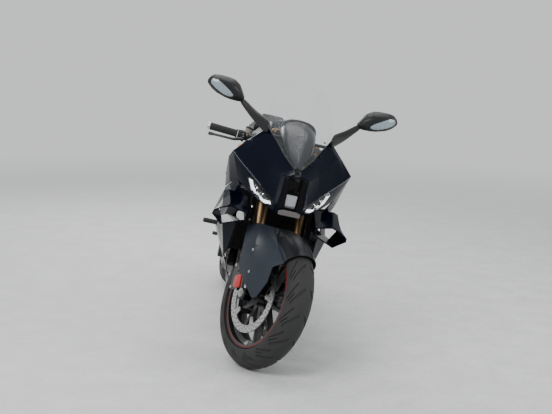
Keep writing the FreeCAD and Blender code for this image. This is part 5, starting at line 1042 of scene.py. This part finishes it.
def radiator_fins():
    """Flat tubes across the core's front, with folded fins between them."""
    up = (CORE_HIGH - CORE_LOW).normalized()
    out = V(0, -up.z, up.y)
    step = (CORE_HIGH - CORE_LOW).length * 0.945 / (CORE_TUBES - 1)
    tubes, fins = [], []
    for k in range(CORE_TUBES):
        c = CORE_LOW + up * (8 + step * k) + out * 0.1
        flat = corners(-CORE_HALF, -1.2, CORE_HALF, 1.2)
        tubes.append(plate([c + LEFT * x + up * u for x, u in flat], out, 3.4))
        if k < CORE_TUBES - 1:
            folds = [c + LEFT * (CORE_HALF * (2 * i / FIN_FOLDS - 1)) + up * (step - 1.2 if i % 2 else 1.2)
                     for i in range(FIN_FOLDS + 1)]
            fins.append(rows([folds, [p + out * 2.2 for p in folds]], closed=False))
    piece("radiator_tubes", tubes, "radiator_black", split=60)
    piece("radiator_fins", fins, "engine_grey", split=20)


# Engine covers. columns: side, middle x y z, screw circle, screws, cap's radii
ENGINE_CAPS = ((RIGHT, -153, 48, 390, 50, 8, 30, 28, 12, 10), (LEFT, 151, -150, 388, 42, 7, 24, 22, 9, 8))
# Cooling ribs. columns: side, lowest z, pitch, count, front y, rear y
ENGINE_RIBS = ((RIGHT, 322, 11, 6, -228, -20), (LEFT, 420, 13, 5, -120, 20))


def engine_details():
    """Cover screws and caps, the oil filler, cooling ribs on both sides and the oil filter."""
    screws, caps, ribs = [], [], []
    for way, x, y, z, radius, n, rim, step, boss, pit in ENGINE_CAPS:
        screws += [bolt(wheel_point(V(0, y, z), x, radius, 360 * i / n), way, 4.4) for i in range(n)]
        cap = [(0, rim), (2.5, rim), (4, step), (4, boss), (2.5, pit), (2.5, 3)]
        caps.append(lathe(V(x, y, z) + way, way, cap, 40))
    filler = [(0, 13), (6, 13), (8, 15), (14, 15), (15, 13), (15, 3)]
    caps.append(lathe(V(-139, -60, 452), (-0.6, 0, 0.8), filler, 32))
    for way, z, step, n, y1, y2 in ENGINE_RIBS:
        for low in [z + k * step for k in range(n)]:
            ribs.append(slab([way * 138.2 + V(0, y, z) for y, z in corners(y1, low, y2, low + 3)], 1.2, way, 4))
    piece("engine_screws", screws, "metal_steel")
    piece("engine_caps", caps, "engine_grey", bevel=0.6)
    piece("engine_ribs", ribs, "engine_grey", bevel=0.8)
    can = [(0, 34), (2, 35), (48, 35), (54, 31), (54, 13, 6), (60, 13, 6)]
    piece("oil_filter", lathe(V(0, -232, 268), (0, -0.94, -0.34), can, 48), "paint_black")


def exhaust_details():
    """Header clamps, the can's end ring and its two straps."""
    rings = [collar(V(-105 + 70 * i, -291, 527), (0, -0.42, -0.91), 18.4, 25, 6, 32) for i in range(4)]
    end = [(0, 22.2), (0, 25), (7, 25), (8, 24), (8, 19.4)]
    rings.append(lathe(V(-114, 442, 262), -AHEAD, end, 40, wrap=True))
    piece("exhaust_rings", rings, "metal_steel")
    straps = []
    for x, y, z, w, h in ((-82.6, 300, 249, 57, 49), (-87, 350, 254, 54, 47)):
        middle = V(x, y, z)
        outer = round_off([middle + V(a, 0, b) for a, b in (
            (-w, -h * 0.5), (1 - w * 0.5, -h - 2), (w, -h - 2), (w, h * 0.7), (0, h + 2), (-w, h * 0.5))], 14)
        straps.append(hoop(outer, [middle + (p - middle) * 0.965 for p in outer], V(0, 12, 0)))
    piece("silencer_straps", straps, "frame_black", bevel=0.4)


# The tank's flank. columns: y, x z of the pad's upper edge, x z of its lower edge
TANK_SIDE = [(-280, 108, 920, 100, 815), (-180, 142, 938, 132, 800), (-60, 170, 908, 150, 775),
             (50, 158, 862, 142, 765), (100, 128, 841, 118, 775)]


def tank_details():
    """Textured knee pads on the tank, and the filler's screws and cover."""
    rings = []
    for y in [-190 + 26 * k for k in range(11)]:
        x1, z1, x2, z2 = between(TANK_SIDE, y)
        taper = 0.5 + 0.5 * sin(pi * min(1, (y + 190) / 260))
        shares = [0.5 + (0.08 + 0.84 * k / 6 - 0.5) * taper for k in range(7)]
        rings.append([V(x1 + (x2 - x1) * s, y, z1 + (z2 - z1) * s) for s in shares])
    lift = V(1, 0, -0.12) * 0.6
    pads = [[p + lift * (5 if 0 < k < 6 and 0 < i < 10 else 1) for k, p in enumerate(ring)]
            + [p - lift for p in reversed(ring)] for i, ring in enumerate(rings)]
    piece("knee_pads", pair(rows(pads)), "pad_rubber", split=60)
    slope = atan2(10, 120)
    up, ahead = V(0, sin(slope), cos(slope)), V(0, -cos(slope), sin(slope))
    at = V(0, -120, 1005) + up * 10
    screws = [bolt(at + ahead * (34 * cos(a)) + LEFT * (34 * sin(a)), up, 3.0)
              for a in [2 * pi * (i + 0.5) / 6 for i in range(6)]]
    piece("cap_screws", screws, "metal_steel", "filler_cap")
    cover = lathe(at - ahead * 4, up, [(0, 14), (2.4, 14), (3.4, 12.5), (3.4, 2)], 32)
    piece("cap_cover", cover, "metal_steel", "filler_cap")


PLATE_PIVOT, PLATE_TURN = V(0, 1003, 690), Matrix.Rotation(radians(14), 4, "X")


def on_plate(x, z, lift):
    return PLATE_PIVOT + PLATE_TURN @ (V(x, 1006 + lift, z) - PLATE_PIVOT)


def tail_details():
    """Rows of red lens ribs, indicator lenses, and the blank plate with its frame, screws and lamp."""
    ribs = [tube([V(x, 896.5 - 0.4 * k, 921 + 5 * k) for x in (-30, 30)], 1.3, 8) for k in range(5)]
    piece("tail_lamp_ribs", ribs, "lens_red")
    lens = [(-30, 13.3), (-28, 13.8), (-2, 13.8), (1.2, 12), (2.2, 7), (2.4, 1)]
    piece("indicator_lenses", pair(lathe(V(124, 962, 738), (1, 0.04, 0), lens, 36)), "lens_amber")
    out = PLATE_TURN @ -AHEAD
    outer = round_off([on_plate(x, z, 0.1) for x, z in corners(-95, 590, 95, 730)], 6)
    inner = round_off([on_plate(x, z, 0.1) for x, z in corners(-90, 595, 90, 725)], 5)
    piece("plate_frame", hoop(outer, inner, out * 1.4), "plastic_matt")
    face = [on_plate(x, z, 0.15) for x, z in corners(-89.5, 595.5, 89.5, 724.5)]
    piece("plate_blank", slab(face, 5, out, 0.9), "plate_white")
    piece("plate_screws", [bolt(on_plate(x, 708, 1.1), out, 3.4) for x in (-60, 60)], "metal_steel")
    lamp = slab([V(x, 938 + d, 800 - d * 1.9) for x, d in corners(-15, 0, 15, 12)], 3, (0, 0.88, 0.47), 5)
    piece("plate_lamp", lamp, "lens_clear", bevel=0.8)


def foot_controls():
    """Knurled pegs, pedal rubbers, their screws, and the rear spindle's nut and blocks."""
    ribs = [(0, 11.1)]
    for k in range(16):
        ribs += [(2 + k * 5, 11.6), (3.4 + k * 5, 12.8), (5.0 + k * 5, 12.8), (6.4 + k * 5, 11.6)]
    ribs += [(86, 11.1), (90, 10.0), (90, 3)]
    rubbers = [lathe(V(174, 315, 398), LEFT, ribs, 30),
               lathe(V(190, 150, 372), LEFT, [(0, 7.1), (1, 9), (22, 9), (24, 7.5), (24, 2)], 26),
               lathe(V(110, 505, 634), LEFT, [(0, 9.1), (1, 11.5), (78, 11.5), (81, 9.5), (81, 3)], 28)]
    piece("peg_rubbers", pair(rubbers), "grip_rubber", split=60)
    screws = [bolt(V(176, y, z), LEFT, r) for y, z, r in ((206, 452, 5), (212, 430, 5), (315, 398, 7))]
    screws += [hex_nut(V(168, 170, 405), LEFT, 20, 7), hex_nut(V(186, -220, 690), LEFT, 8, 6)]
    piece("foot_screws", pair(screws), "metal_steel")
    nut = lathe(REAR + V(158, 0, 0), LEFT, [(0, 24), (3, 24), (3, 20, 6), (12, 20, 6), (12, 8)], 36)
    piece("rear_axle_nut", nut, "metal_steel")
    block = slab([V(158.2, 690 + a, 320 + b) for a, b in corners(-26, -17, 60, 17)], 5, LEFT, 2.4)
    piece("axle_blocks", pair(block), "metal_steel", bevel=0.5)


# Seat covers: how far the cloth may swell, in metres; start size, voxel, height held down, pressure and frames
SEAT_SWELL = {"rider_seat": 0.006, "pillion_seat": 0.005}
SEAT_START, SEAT_VOXEL, SEAT_HELD, SEAT_PRESSURE, SEAT_FRAMES = 0.975, 0.0058, 0.012, 4.0, 14


def seats():
    """Padded covers: the cushions' solids, swelled as cloth over foam."""
    scene = bpy.context.scene
    for node, cap in SEAT_SWELL.items():
        mesh = nodes[node].data.copy()
        pad = show(node + "_cover", mesh)
        pad.matrix_world = nodes[node].matrix_world.copy()
        mesh.materials.clear()
        mesh.materials.append(finish["seat_black"])
        bpy.context.view_layer.update()
        low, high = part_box(node)
        middle = (low + high) / 2
        for v in mesh.vertices:
            v.co = middle + (v.co - middle) * SEAT_START
        shape = pad.modifiers.new("shape", "REMESH")
        shape.mode = "VOXEL"
        shape.voxel_size = SEAT_VOXEL
        apply_modifiers(pad)
        before = [v.co.copy() for v in pad.data.vertices]
        floor = min(Z.dot(c) for c in before)
        held = [i for i, c in enumerate(before) if Z.dot(c) < floor + SEAT_HELD]
        pad.vertex_groups.new(name="base").add(held, 1.0, "REPLACE")
        cloth = pad.modifiers.new("cloth", "CLOTH").settings
        cloth.use_pressure = True
        cloth.uniform_pressure_force = SEAT_PRESSURE
        cloth.effector_weights.gravity = 0.0
        cloth.vertex_group_mass = "base"
        cloth.quality = 4
        for f in range(SEAT_FRAMES):
            scene.frame_set(f + 1)
        apply_modifiers(pad)
        scene.frame_set(1)
        for v, old in zip(pad.data.vertices, before):
            move = v.co - old
            if move.length > cap:
                v.co = old + move.normalized() * cap
        smooth(pad.data)
        soft = pad.modifiers.new("soft", "SUBSURF")
        soft.levels = soft.render_levels = 1
        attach(pad, "chassis")
        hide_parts(node)


def apply_modifiers(obj):
    bpy.context.view_layer.update()
    graph = bpy.context.evaluated_depsgraph_get()
    done = bpy.data.meshes.new_from_object(obj.evaluated_get(graph), depsgraph=graph)
    obj.modifiers.clear()
    obj.data = done


camera()
studio()
dress_nodes()
wheels()
front_brakes()
rear_brake()
chain()
headlamps()
screws = mirrors() + screen_trim() + [bolt(V(0, 64, 946), (0, 0.5, 0.86), 5.0)]
handlebars()
fork_details()
cockpit()
intake()
vent_slats()
radiator_fins()
engine_details()
exhaust_details()
piece("panel_screws", screws, "frame_black")
tank_details()
tail_details()
foot_controls()
seats()
